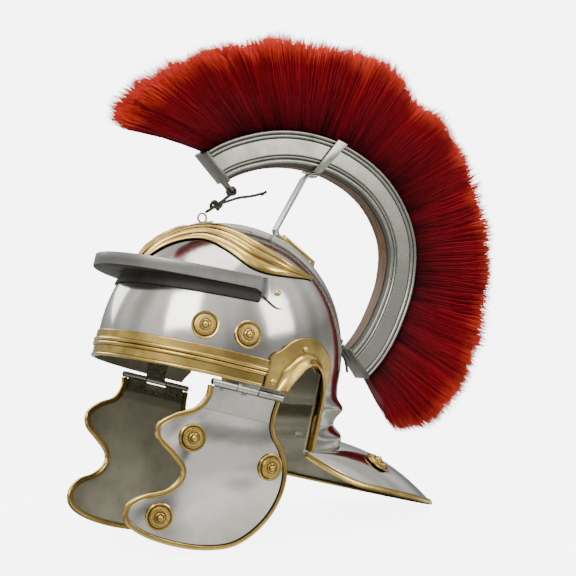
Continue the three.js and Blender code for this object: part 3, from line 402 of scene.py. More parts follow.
def solid(
    name: str,
    shape: Shape,
    finish: bpy.types.Material,
    side: Side = Side.LEFT,
    crease: float = 35,
    marks: Sequence[float] | None = None,
) -> bpy.types.Object:
    """A closed mesh object from points of the helmet's own frame.

    Args:
        name: The object's name.
        shape: Points and faces, as for the left side.
        finish: Its material.
        side: Mirrored when it is the right side.
        crease: Angle in degrees past which an edge is sharp.
        marks: How much painted shade darkens each point, from 0 to 1.

    Returns:
        The object, at the origin.
    """
    points, faces = shape
    mesh = bpy.data.meshes.new(name)
    mesh.from_pydata([REST.place(Vector((p[0] * side.value, p[1], p[2]))) for p in points], [], faces)
    if marks is not None:
        # Painted shade, stored for the material to darken recesses and joints.
        store(mesh, "patina", list(marks))
    tidied(mesh)
    mesh.materials.append(finish)
    shade(mesh, crease)
    return linked(name, mesh)


def applied(obj: bpy.types.Object, crease: float | None = None) -> bpy.types.Object:
    """Turns an object's modifiers into plain mesh.

    Args:
        obj: The object with live modifiers.
        crease: Angle for the sharp edges, or None to keep the shading.

    Returns:
        The same object, with no modifier left.
    """
    graph = bpy.context.evaluated_depsgraph_get()
    mesh = bpy.data.meshes.new_from_object(obj.evaluated_get(graph), depsgraph=graph)
    old = obj.data
    obj.modifiers.clear()
    obj.data = mesh
    bpy.data.meshes.remove(old)
    if crease is not None:
        shade(mesh, crease)
    return obj


def worked(obj: bpy.types.Object, tool: bpy.types.Object, cut: Cut, crease: float) -> None:
    """Cuts one solid with another, which is used up.

    Args:
        obj: The solid that stays.
        tool: The solid that works on it.
        cut: What the tool does.
        crease: Angle for the sharp edges.
    """
    modifier = obj.modifiers.new("work", "BOOLEAN")
    modifier.operation = cut.value
    modifier.solver = "EXACT"
    modifier.object = tool
    applied(obj, crease)
    bpy.data.objects.remove(tool)


def joined(name: str, objects: Sequence[bpy.types.Object]) -> bpy.types.Object:
    """One object that holds the meshes of several, which are used up.

    Args:
        name: The new object's name.
        objects: Objects at the origin.

    Returns:
        The joined object.
    """
    body = bmesh.new()
    palette: list[bpy.types.Material] = []
    for obj in objects:
        before = len(body.faces)
        body.from_mesh(obj.data)
        body.faces.ensure_lookup_table()
        own = list(obj.data.materials)
        palette += [material for material in own if material not in palette]
        for face in body.faces[before:]:
            face.material_index = palette.index(own[face.material_index])
    mesh = bpy.data.meshes.new(name)
    body.to_mesh(mesh)
    body.free()
    for material in palette:
        mesh.materials.append(material)
    for obj in objects:
        bpy.data.objects.remove(obj)
    return linked(name, mesh)


def enter(obj: bpy.types.Object, body: str, slot: str, *nodes: str) -> None:
    """Hands a finished piece to the frame.

    Args:
        obj: The piece.
        body: The body that it rides on.
        slot: The record's material slot; not used.
        nodes: The nodes that it stands for.
    """
    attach(obj, body)
    if nodes:
        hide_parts(*nodes)
    LOG.info("%s on %s", obj.name, body)


class NodeBench:
    """Adds and links the nodes of one tree."""

    def __init__(self, tree: bpy.types.NodeTree) -> None:
        """Takes the tree to work on."""
        self.tree = tree

    def add(self, kind: str, settings: dict | None = None, **inputs: object) -> bpy.types.Node:
        """Adds a node and sets or links its inputs.

        Args:
            kind: The node's type name.
            settings: The node's own properties.
            inputs: Input names, with _ for a space, and their values or source sockets.

        Returns:
            The node.
        """
        node = self.tree.nodes.new(kind)
        for key, value in (settings or {}).items():
            setattr(node, key, value)
        for key, value in inputs.items():
            self.feed(node, key.replace("_", " "), value)
        return node

    def feed(self, node: bpy.types.Node, name: str | int, value: object) -> None:
        """Links a socket, or sets its value."""
        socket = node.inputs[name]
        if isinstance(value, bpy.types.NodeSocket):
            self.tree.links.new(value, socket)
        else:
            socket.default_value = value

    def maths(self, operation: str, *values: object) -> bpy.types.NodeSocket:
        """The result of a Math node on values or sockets."""
        node = self.tree.nodes.new("ShaderNodeMath")
        node.operation = operation
        for i, value in enumerate(values):
            self.feed(node, i, value)
        return node.outputs[0]

    def ramp(
        self, factor: bpy.types.NodeSocket, stops: Sequence[tuple[float, tuple]],
    ) -> bpy.types.NodeSocket:
        """Colour read from a ramp.

        Args:
            factor: Where to read.
            stops: Pairs of position and colour.

        Returns:
            The colour socket.
        """
        node = self.add("ShaderNodeValToRGB", Fac=factor)
        elements = node.color_ramp.elements
        while len(elements) < len(stops):
            elements.new(0.5)
        for element, (position, colour) in zip(elements, stops):
            element.position = position
            element.color = (*colour, 1.0)
        return node.outputs["Color"]

    def mixed(self, factor: object, a: object, b: object) -> bpy.types.NodeSocket:
        """A mix of two colours or colour sockets."""
        node = self.tree.nodes.new("ShaderNodeMix")
        node.data_type = "RGBA"
        self.feed(node, 0, factor)
        self.feed(node, 6, a)
        self.feed(node, 7, b)
        return node.outputs[2]

    def noise(self, place: object, scale: object, detail: float, **inputs: object) -> bpy.types.NodeSocket:
        """The grey of a noise texture."""
        node = self.add("ShaderNodeTexNoise", Vector=place, Scale=scale, Detail=detail, **inputs)
        return node.outputs["Fac"]

    def spread(self, value: object, start: float, end: float, **inputs: object) -> bpy.types.NodeSocket:
        """A value's place between two limits, as a share or in another range."""
        node = self.add("ShaderNodeMapRange", Value=value, From_Min=start, From_Max=end, **inputs)
        return node.outputs[0]

    def attribute(self, name: str) -> bpy.types.NodeSocket:
        """A number stored on the mesh, read by a material."""
        return self.add("ShaderNodeAttribute", {"attribute_name": name}).outputs["Fac"]

    def stretched(self, place: bpy.types.NodeSocket, scale: Triple) -> bpy.types.NodeSocket:
        """Texture coordinates scaled by their own amount on each axis."""
        return self.add("ShaderNodeMapping", Vector=place, Scale=scale).outputs["Vector"]

    def bumped(self, skin: bpy.types.Node, strength: float, distance: float, height: object) -> None:
        """Gives a surface shader fine relief from a height."""
        bump = self.add("ShaderNodeBump", Strength=strength, Distance=distance, Height=height)
        self.feed(skin, "Normal", bump.outputs["Normal"])

    def vector_maths(self, operation: str, *values: object, **inputs: object) -> bpy.types.NodeSocket:
        """The result of a Vector Math node on vectors or sockets."""
        node = self.add("ShaderNodeVectorMath", {"operation": operation}, **inputs)
        for i, value in enumerate(values):
            self.feed(node, i, value)
        return node.outputs["Value" if operation == "LENGTH" else "Vector"]

    def stored(self, kind: str, name: str) -> bpy.types.NodeSocket:
        """An attribute of the geometry, read by Geometry Nodes."""
        return self.add("GeometryNodeInputNamedAttribute", {"data_type": kind}, Name=name).outputs[0]

    def random(self, low: object, high: object, seed: bpy.types.NodeSocket) -> bpy.types.NodeSocket:
        """A random number or vector for each point, between two limits."""
        vector = isinstance(low, tuple)
        kind = "FLOAT_VECTOR" if vector else "FLOAT"
        node = self.add("FunctionNodeRandomValue", {"data_type": kind}, Seed=seed)
        self.feed(node, 0 if vector else 2, low)
        self.feed(node, 1 if vector else 3, high)
        return node.outputs[0 if vector else 1]

    def finished(self, geometry: bpy.types.NodeSocket, finish: bpy.types.NodeSocket) -> None:
        """Ends a Geometry Nodes tree with its result in one material."""
        dressed = self.add("GeometryNodeSetMaterial", Geometry=geometry, Material=finish)
        self.add("NodeGroupOutput", Geometry=dressed.outputs[0])


def new_material(name: str) -> tuple[bpy.types.Material, NodeBench, bpy.types.Node]:
    """A material, the bench to work on its nodes and its surface shader."""
    material = bpy.data.materials.new(name)
    material.use_nodes = True
    return material, NodeBench(material.node_tree), material.node_tree.nodes["Principled BSDF"]


def geometry_tree(
    name: str, kinds: dict[str, str],
) -> tuple[NodeBench, bpy.types.bpy_prop_collection, dict[str, str]]:
    """A Geometry Nodes tree with inputs of its own.

    Args:
        name: The tree's name.
        kinds: Each input's name and its kind of socket.

    Returns:
        The bench to work on it, its inputs inside, and their identifiers outside.
    """
    tree = bpy.data.node_groups.new(name, "GeometryNodeTree")
    tree.interface.new_socket("Geometry", in_out="INPUT", socket_type="NodeSocketGeometry")
    sockets = {
        label: tree.interface.new_socket(label, in_out="INPUT", socket_type=f"NodeSocket{kind}").identifier
        for label, kind in kinds.items()
    }
    tree.interface.new_socket("Geometry", in_out="OUTPUT", socket_type="NodeSocketGeometry")
    bench = NodeBench(tree)
    return bench, bench.add("NodeGroupInput").outputs, sockets


def grown(
    obj: bpy.types.Object, tree: bpy.types.NodeTree, sockets: dict[str, str], values: dict[str, object],
) -> bpy.types.Object:
    """Runs a Geometry Nodes tree on an object and keeps the result as plain mesh.

    Args:
        obj: The object.
        tree: The tree.
        sockets: Its inputs' identifiers by name.
        values: Its inputs' values by name.

    Returns:
        The same object.
    """
    modifier = obj.modifiers.new(tree.name, "NODES")
    modifier.node_group = tree
    for name, value in values.items():
        modifier[sockets[name]] = value
    return applied(obj)


def grey(value: float) -> Triple:
    """A neutral colour."""
    return (value, value, value)


class SharedEffects:
    """Node groups that more than one finish uses."""

    def __init__(self) -> None:
        """Builds the groups once."""
        self.wear = self._wear()
        self.hammering = self._hammering()

    @staticmethod
    def _group(name: str, inputs: dict[str, float], outputs: Iterable[str]) -> bpy.types.NodeTree:
        """A group with number inputs and outputs and the object's own coordinates inside."""
        tree = bpy.data.node_groups.new(name, "ShaderNodeTree")
        for label, value in inputs.items():
            socket = tree.interface.new_socket(label, in_out="INPUT", socket_type="NodeSocketFloat")
            socket.default_value = value
        for label in outputs:
            tree.interface.new_socket(label, in_out="OUTPUT", socket_type="NodeSocketFloat")
        return tree

    def _wear(self) -> bpy.types.NodeTree:
        """Cloudy tarnish and fine handling marks, from 0 clean to 1 stained."""
        tree = self._group("handling wear", {"Cloud Scale": 30, "Mark Scale": 400}, ("Cloud", "Marks"))
        bench = NodeBench(tree)
        given = bench.add("NodeGroupInput").outputs
        place = bench.add("ShaderNodeTexCoord").outputs["Object"]
        bench.add(
            "NodeGroupOutput", Cloud=bench.noise(place, given["Cloud Scale"], 5.0, Roughness=0.62),
            Marks=bench.noise(place, given["Mark Scale"], 3.0, Roughness=0.7),
        )
        return tree

    def _hammering(self) -> bpy.types.NodeTree:
        """Shallow planishing of sheet metal, as a height."""
        tree = self._group("planishing", {"Scale": 55, "Grain": 900}, ("Height",))
        bench = NodeBench(tree)
        given = bench.add("NodeGroupInput").outputs
        place = bench.add("ShaderNodeTexCoord").outputs["Object"]
        waves = bench.noise(place, given["Scale"], 1.5)
        grain = bench.noise(place, given["Grain"], 2.0)
        bench.add("NodeGroupOutput", Height=bench.maths("MULTIPLY_ADD", grain, 0.006, waves))
        return tree


@dataclass(frozen=True)
class MetalFinish:
    """Polished sheet metal with a little tarnish, and painted shade in the recesses and joints that a piece
    marks.
    """

    name: str
    bright: Triple
    tarnish: Triple
    tarnish_from: float
    tarnish_to: float
    roughness: tuple[float, float]
    cloud_scale: float
    relief: float
    relief_scale: float
    # Colour of the painted shade in recesses and joints.
    recess: Triple
    recess_rough: float = 0.35
    relief_depth: float = 0.0015

    def build(self, effects: SharedEffects) -> bpy.types.Material:
        """Makes the material.

        Args:
            effects: The shared node groups.

        Returns:
            The material.
        """
        material, bench, skin = new_material(self.name)
        wear = bench.add("ShaderNodeGroup", {"node_tree": effects.wear}, Cloud_Scale=self.cloud_scale)
        mask = bench.spread(wear.outputs["Cloud"], self.tarnish_from, self.tarnish_to)
        colour = bench.mixed(mask, (*self.bright, 1.0), (*self.tarnish, 1.0))
        # Painted shade: the stored amount darkens recesses and joints towards the shade colour, and roughens
        # them.
        recess_shade_mask = bench.attribute("patina")
        bench.feed(skin, "Base Color", bench.mixed(recess_shade_mask, colour, (*self.recess, 1.0)))
        bench.feed(skin, "Metallic", 1.0)
        low, high = self.roughness
        marks = bench.maths("MULTIPLY", wear.outputs["Marks"], 0.5)
        blend = bench.maths("MULTIPLY_ADD", mask, 0.5, marks)
        worn = bench.maths("MULTIPLY_ADD", blend, high - low, low)
        bench.feed(skin, "Roughness", bench.maths("MULTIPLY_ADD", recess_shade_mask, self.recess_rough, worn))
        relief = bench.add("ShaderNodeGroup", {"node_tree": effects.hammering}, Scale=self.relief_scale)
        bench.bumped(skin, self.relief, self.relief_depth, relief.outputs["Height"])
        return material


@dataclass(frozen=True)
class HairFinish:
    """Dyed hair, dark at the roots and orange at the tips."""

    name: str = "dyed hair"
    roots: Triple = (0.040, 0.0010, 0.0030)
    middle: Triple = (0.20, 0.0025, 0.0095)
    upper: Triple = (0.39, 0.0060, 0.0150)
    tips: Triple = (0.72, 0.055, 0.026)
    tone_shift: float = 0.34

    def build(self) -> bpy.types.Material:
        """Makes the material, which reads the attributes along and shade."""
        material, bench, skin = new_material(self.name)
        tone = bench.attribute("shade")
        shifted = bench.maths("MULTIPLY_ADD", tone, self.tone_shift, bench.attribute("along"))
        colour = bench.ramp(
            bench.maths("SUBTRACT", shifted, self.tone_shift / 2),
            ((0.0, self.roots), (0.28, self.middle), (0.84, self.upper), (1.0, self.tips)),
        )
        darker = bench.maths("MULTIPLY_ADD", tone, 0.55, 0.62)
        toned = bench.add("ShaderNodeHueSaturation", Color=colour, Value=darker)
        bench.feed(skin, "Base Color", toned.outputs["Color"])
        bench.feed(skin, "Roughness", 0.55)
        bench.feed(skin, "Specular IOR Level", 0.15)
        uv = bench.add("ShaderNodeUVMap", {"uv_map": "combed"}).outputs["UV"]
        bench.bumped(skin, 0.8, 0.0008, bench.noise(bench.stretched(uv, (520, 5, 1)), 1.0, 3.0))
        return material


@dataclass(frozen=True)
class WoodFinish:
    """Dark oiled wood with grain along the helmet's length."""

    name: str = "oiled wood"
    light: Triple = (0.20, 0.105, 0.05)
    dark: Triple = (0.055, 0.028, 0.014)

    def build(self) -> bpy.types.Material:
        """Makes the material."""
        material, bench, skin = new_material(self.name)
        place = bench.add("ShaderNodeTexCoord").outputs["Object"]
        grain = bench.noise(bench.stretched(place, (420, 30, 60)), 1.0, 6.0)
        bench.feed(skin, "Base Color", bench.ramp(grain, ((0.3, self.dark), (0.7, self.light))))
        bench.feed(skin, "Roughness", bench.maths("MULTIPLY_ADD", grain, 0.2, 0.45))
        bench.bumped(skin, 0.4, 0.0004, grain)
        return material


@dataclass(frozen=True)
class CordFinish:
    """Dark waxed cord with a fine twist."""

    name: str = "waxed cord"
    colour: Triple = (0.022, 0.020, 0.016)
    lighter: Triple = (0.075, 0.066, 0.05)

    def build(self) -> bpy.types.Material:
        """Makes the material."""
        material, bench, skin = new_material(self.name)
        place = bench.add("ShaderNodeTexCoord").outputs["Object"]
        twist = bench.add(
            "ShaderNodeTexWave", {"bands_direction": "DIAGONAL"},
            Vector=place, Scale=380.0, Distortion=3.0, Detail=2.0,
        ).outputs["Fac"]
        bench.feed(skin, "Base Color", bench.ramp(twist, ((0.2, self.colour), (0.9, self.lighter))))
        bench.feed(skin, "Roughness", bench.maths("MULTIPLY_ADD", twist, -0.2, 0.75))
        bench.bumped(skin, 0.7, 0.0004, twist)
        return material


@dataclass
class Finishes:
    """Every material of the helmet."""

    effects: SharedEffects = field(default_factory=SharedEffects)

    def __post_init__(self) -> None:
        """Builds the materials."""
        self.steel = MetalFinish(
            "polished steel", (0.66, 0.645, 0.585), (0.46, 0.445, 0.385), 0.48, 0.92,
            (0.10, 0.26), 22, 0.50, 18, (0.05, 0.045, 0.04),
        ).build(self.effects)
        self.cheek_steel = MetalFinish(
            "planished steel", (0.68, 0.67, 0.605), (0.40, 0.39, 0.34), 0.42, 0.86,
            (0.05, 0.18), 20, 1.0, 15, (0.05, 0.045, 0.04),
        ).build(self.effects)
        self.bar_steel = MetalFinish(
            "dark satin steel", (0.56, 0.55, 0.50), (0.36, 0.35, 0.30), 0.40, 0.80,
            (0.22, 0.42), 26, 0.40, 26, (0.012, 0.011, 0.010),
        ).build(self.effects)
        self.inner_steel = MetalFinish(
            "dull steel", (0.56, 0.54, 0.42), (0.34, 0.325, 0.245), 0.35, 0.8,
            (0.45, 0.68), 26, 0.4, 30, (0.03, 0.03, 0.025),
        ).build(self.effects)
        self.crest_steel = MetalFinish(
            "crest steel", (0.41, 0.405, 0.35), (0.27, 0.265, 0.215), 0.42, 0.85,
            (0.20, 0.38), 30, 0.25, 30, (0.035, 0.032, 0.026),
        ).build(self.effects)
        self.cap_steel = MetalFinish(
            "dark plate", (0.20, 0.20, 0.17), (0.12, 0.12, 0.10), 0.42, 0.85,
            (0.30, 0.48), 30, 0.25, 30, (0.03, 0.03, 0.025),
        ).build(self.effects)
        self.brass = MetalFinish(
            "polished brass", (0.88, 0.62, 0.19), (0.42, 0.26, 0.055), 0.42, 0.76,
            (0.08, 0.30), 38, 0.30, 50, (0.055, 0.034, 0.010),
        ).build(self.effects)
        self.hair = HairFinish().build()
        self.wood = WoodFinish().build()
        self.cord = CordFinish().build()


@dataclass(frozen=True)
class Viewpoint:
    """The photograph's viewing angle and distance, found with the helmet leaning 13.8 degrees."""

    azimuth: float = 59.276
    elevation: float = -1.162
    lean: float = 13.789
    distance: float = 1265.93
    focal_pixels: float = 1400.0
    picture_pixels: float = 576.0
    aside: float = -66.36
    below: float = -86.38
    sensor: float = 36.0

    def build(self) -> None:
        """Makes the camera and gives it to the scene."""
        turned, raised = math.radians(self.azimuth), math.radians(self.elevation)
        back = Vector((math.sin(turned) * math.cos(raised), -math.cos(turned) * math.cos(raised),
                       math.sin(raised)))
        right = Vector((math.cos(turned), math.sin(turned), 0))
        up = back.cross(right)
        further = Matrix.Rotation(math.radians(self.lean) - REST.lean, 3, "X")
        stand = further @ (back * self.distance - right * self.aside - up * self.below) + REST.origin
        data = bpy.data.cameras.new("photograph view")
        data.sensor_width = self.sensor
        data.lens = self.focal_pixels / self.picture_pixels * self.sensor
        data.clip_start = 0.02
        camera = bpy.data.objects.new("camera", data)
        bpy.context.scene.collection.objects.link(camera)
        axes = Matrix((further @ right, further @ up, further @ back)).transposed().to_4x4()
        camera.matrix_world = Matrix.Translation(stand * MM) @ axes
        bpy.context.scene.camera = camera


@dataclass(frozen=True)
class Studio:
    """Plain pale floor and soft light."""

    floor_grey: float = 0.80
    floor_half: float = 1.6
    floor_lift: float = 5.6
    backdrop: float = 6.5
    fade_from: float = 0.42
    fade_to: float = 0.95

    def build(self) -> None:
        """Makes the floor, the sky and the lights."""
        self._floor()
        self._sky()
        self._softbox("key", (1.05, -1.25, 1.35), 0.9, 16)
        self._softbox("left rear fill", (1.3, 0.9, 0.8), 0.7, 7)
        self._softbox("right fill", (-1.4, -0.6, 1.1), 0.9, 8)
        self._softbox("overhead", (0.1, 0.1, 1.9), 1.2, 14)
        LOG.info("floor and lights")

    def _floor(self) -> None:
        """A plain disc that fades into the pale surround, with a painted dark ring and blotches that only
        reflections show.
        """
        mesh = bpy.data.meshes.new("floor")
        reach = self.floor_half
        mesh.from_pydata(
            [(-reach, -reach, 0), (reach, -reach, 0), (reach, reach, 0), (-reach, reach, 0)],
            [], [(0, 1, 2, 3)],
        )
        floor = linked("floor", mesh)
        material, bench, skin = new_material("pale floor")
        bench.feed(skin, "Roughness", 0.9)
        bench.feed(skin, "Specular IOR Level", 0.1)
        place = bench.add("ShaderNodeTexCoord").outputs["Object"]
        far = bench.vector_maths("LENGTH", place)
        seen = bench.add("ShaderNodeLightPath").outputs
        # Painted reflection: glossy rays see a dark ring and blotches on the floor, so the metal reflects a
        # dark band.
        painted_reflection_ring = bench.ramp(
            far, ((0.20, grey(0.75)), (0.27, grey(0.45)), (0.43, grey(0.42)), (0.58, grey(0.78))),
        )
        reflection_blotch = bench.spread(bench.noise(place, 4.6, 2.0), 0.43, 0.56, To_Min=0.25, To_Max=1.25)
        bench.feed(skin, "Base Color", bench.mixed(
            seen["Is Glossy Ray"], (*grey(self.floor_grey), 1), bench.maths("MULTIPLY", painted_reflection_ring, reflection_blotch),
        ))
        bench.feed(skin, "Emission Color", (1, 1, 1, 1))
        bench.feed(skin, "Emission Strength", bench.maths("MULTIPLY", seen["Is Camera Ray"], self.floor_lift))
        mask = bench.add(
            "ShaderNodeMapRange", {"interpolation_type": "SMOOTHSTEP"},
            Value=far, From_Min=self.fade_from, From_Max=self.fade_to,
        )
        mix = bench.add("ShaderNodeMixShader", Fac=mask.outputs[0])
        bench.feed(mix, 1, skin.outputs[0])
        bench.feed(mix, 2, bench.add("ShaderNodeBsdfTransparent").outputs[0])
        bench.feed(material.node_tree.nodes["Material Output"], "Surface", mix.outputs[0])
        mesh.materials.append(material)

    def _sky(self) -> None:
        """Pale surround, with a greyer band for the metal to reflect."""
        world = bpy.data.worlds.new("studio")
        world.use_nodes = True
        bpy.context.scene.world = world
        bench = NodeBench(world.node_tree)
        place = bench.add("ShaderNodeTexCoord").outputs["Generated"]
        parts = bench.add("ShaderNodeSeparateXYZ", Vector=place)
        band = bench.ramp(
            bench.maths("MULTIPLY_ADD", parts.outputs["Z"], 0.5, 0.5),
            ((0.0, grey(0.62)), (0.42, grey(0.75)), (0.485, grey(0.32)), (0.545, grey(0.28)),
             (0.61, grey(0.55)), (0.72, grey(1.0))),
        )
        streaks = bench.noise(bench.stretched(place, (1, 1, 0.2)), 2.6, 1.0)
        gain = bench.spread(streaks, 0.36, 0.64, To_Min=0.62, To_Max=1.22)
        seen = bench.add("ShaderNodeLightPath").outputs["Is Camera Ray"]
        colour = bench.mixed(seen, bench.maths("MULTIPLY", band, gain), (*grey(self.backdrop), 1))
        background = world.node_tree.nodes["Background"]
        bench.feed(background, "Color", colour)
        bench.feed(background, "Strength", 1.0)

    @staticmethod
    def _softbox(name: str, place: Triple, size: float, power: float) -> None:
        """A square area light that faces the helmet.

        Args:
            name: The light's name.
            place: Where it stands, in metres.
            size: Its side, in metres.
            power: Its power, in watts.
        """
        data = bpy.data.lights.new(name, "AREA")
        data.size = size
        data.energy = power
        light = bpy.data.objects.new(name, data)
        light.location = place
        light.rotation_euler = (Vector(place) - Vector((0, 0, 0.22))).to_track_quat("Z", "Y").to_euler()
        bpy.context.scene.collection.objects.link(light)


@dataclass(frozen=True)
class BowlForm:
    """The skull's surface: an ellipse in plan with a domed crown, a ridged nape and a guard."""

    half_length: float = 114.5
    half_width: float = 95.5
    wall_top: float = 24.0
    dome_height: float = 122.0
    roundness: float = 2.1
    nape_from: float = 120.0
    nape_fade: float = 30.0
    nape_centre_z: float = -24.0
    nape_side_z: float = -45.0
    nape_profile: Table = ((24, 0), (13, 2), (5, 9), (-4, 4), (-10, 4), (-16, 12), (-24, 13))
    guard_half_width: float = 98.0
    guard_side_y: float = 120.0
    guard_back_y: float = 244.0
    guard_z: float = -63.0
    guard_corner: Triple = (84.5, 62.0, -49.0)
    guard_side_share: float = 0.4
    guard_dome: float = 2.0

    def _rounded(self, level: float) -> float:
        """Size of the dome's plan at a share of its height, or the other way round."""
        return max(0.0, 1 - level ** self.roundness) ** (1 / self.roundness)

    def dome_point(self, x: float, y: float) -> Vector:
        """Point of the dome over a place in plan."""
        rise = self._rounded(math.hypot(x / self.half_width, y / self.half_length))
        return Vector((x, y, self.wall_top + self.dome_height * rise))

    def over(self, x: float, y: float, proud: float) -> Vector:
        """Point that stands proud of the dome over a place in plan."""
        foot = self.dome_point(x, y)
        return foot + self.dome_normal(foot) * proud

    def dome_normal(self, point: Vector) -> Vector:
        """Outward normal of the dome at a point on it."""
        ratio = math.hypot(point.x / self.half_width, point.y / self.half_length)
        around = ratio ** (self.roundness - 2)
        level = max(0.0, point.z - self.wall_top) / self.dome_height
        return Vector((
            around * point.x / self.half_width ** 2,
            around * point.y / self.half_length ** 2,
            level ** (self.roundness - 1) / self.dome_height,
        )).normalized()

    def ring(self, angle: float, z: float, proud: float = 0.0) -> Vector:
        """Point at an angle from the front and a height, standing proud by a distance."""
        level = max(0.0, z - self.wall_top) / (self.dome_height + proud)
        size = self._rounded(level)
        turned = math.radians(angle)
        return Vector((
            (self.half_width + proud) * size * math.sin(turned),
            -(self.half_length + proud) * size * math.cos(turned),
            z,
        ))

    def fade(self, angle: float) -> float:
        """Share of the nape's swell at an angle from the front."""
        return smooth((180 - self.nape_from - abs(angle - 180)) / self.nape_fade)

    def nape_swell(self, angle: float, z: float) -> float:
        """How far the nape stands out at a height."""
        rows = [(-level, swell) for level, swell in self.nape_profile]
        return table_value(rows, -z) * self.fade(angle)

    def side_x(self, y: float, z: float, proud: float = 0.0) -> float:
        """Half width of the outer face at a place seen from the side."""
        if z > self.wall_top:
            level = (z - self.wall_top) / (self.dome_height + proud)
            size = self._rounded(level)
            length = (self.half_length + proud) * size
            return (self.half_width + proud) * size * math.sqrt(max(0.0, 1 - (y / length) ** 2))
        angle = 90 + math.degrees(math.asin(y / self.half_length))
        out = proud + (self.nape_swell(max(angle, self.nape_from), z) if z < 0 else 0.0)
        return (self.half_width + out) * math.sqrt(1 - (y / (self.half_length + out)) ** 2)

    def guard_rim(self, share: float) -> Vector:
        """Edge of the neck guard, from the left nape corner at 0 to the right one at 2."""
        side = -1 if share > 1 else 1
        t = 2 - share if share > 1 else share
        corner = Vector(self.guard_corner)
        if t < self.guard_side_share:
            turn = math.sin(t / self.guard_side_share * math.pi / 2)
            return Vector((
                side * lerp(corner.x, self.guard_half_width, turn),
                lerp(corner.y, self.guard_side_y, t / self.guard_side_share),
                lerp(corner.z, self.guard_z, turn),
            ))
        turn = (t - self.guard_side_share) / (1 - self.guard_side_share) * math.pi / 2
        return Vector((
            side * self.guard_half_width * math.cos(turn),
            self.guard_side_y + (self.guard_back_y - self.guard_side_y) * math.sin(turn),
            self.guard_z,
        ))

    def nape_point(self, angle: float, down: float) -> Vector:
        """Top face of the nape, from the wall's top at 0 to the guard's root at 1."""
        sideways = abs(angle - 180) / (180 - self.nape_from)
        foot = lerp(self.nape_centre_z, self.nape_side_z, sideways ** 1.5)
        stretch = (self.wall_top - foot) / (self.wall_top - self.nape_centre_z)
        row = down * (len(self.nape_profile) - 1)
        last = len(self.nape_profile) - 1
        i = min(last - 1, int(row))
        around = (self.nape_profile[k] for k in (max(0, i - 1), i, i + 1, min(last, i + 2)))
        level, swell = (through(*values, row - i) for values in zip(*around))
        z = self.wall_top + (level - self.wall_top) * stretch
        return self.ring(angle, z, swell * self.fade(angle))

    def guard_point(self, angle: float, out: float) -> Vector:
        """Top face of the neck guard, from its root at 0 to its rim at 1."""
        root = self.nape_point(angle, 1.0)
        rim = self.guard_rim((angle - self.nape_from) / (180 - self.nape_from))
        return Vector((
            lerp(root.x, rim.x, out), lerp(root.y, rim.y, out),
            lerp(root.z, rim.z, out ** self.guard_dome),
        ))


FORM = BowlForm()
EAR_EDGE = (
    (14, 0.6), (17, 6), (24, 16), (31, 24.5), (40, 28.5), (49, 25), (55, 16), (58, 4), (58.4, -20),
    (58.6, -43),
)


def side_block(
    outline: Sequence[Vector], finish: bpy.types.Material, x_from: float, x_to: float,
) -> bpy.types.Object:
    """A block whose outline is seen from the side.

    Args:
        outline: Points as (y, z).
        finish: Any material.
        x_from: Its right face.
        x_to: Its left face.

    Returns:
        The block.
    """
    rings = [[Vector((x, p.x, p.y)) for p in outline] for x in (x_from, x_to)]
    return solid("block", loft(rings), finish)


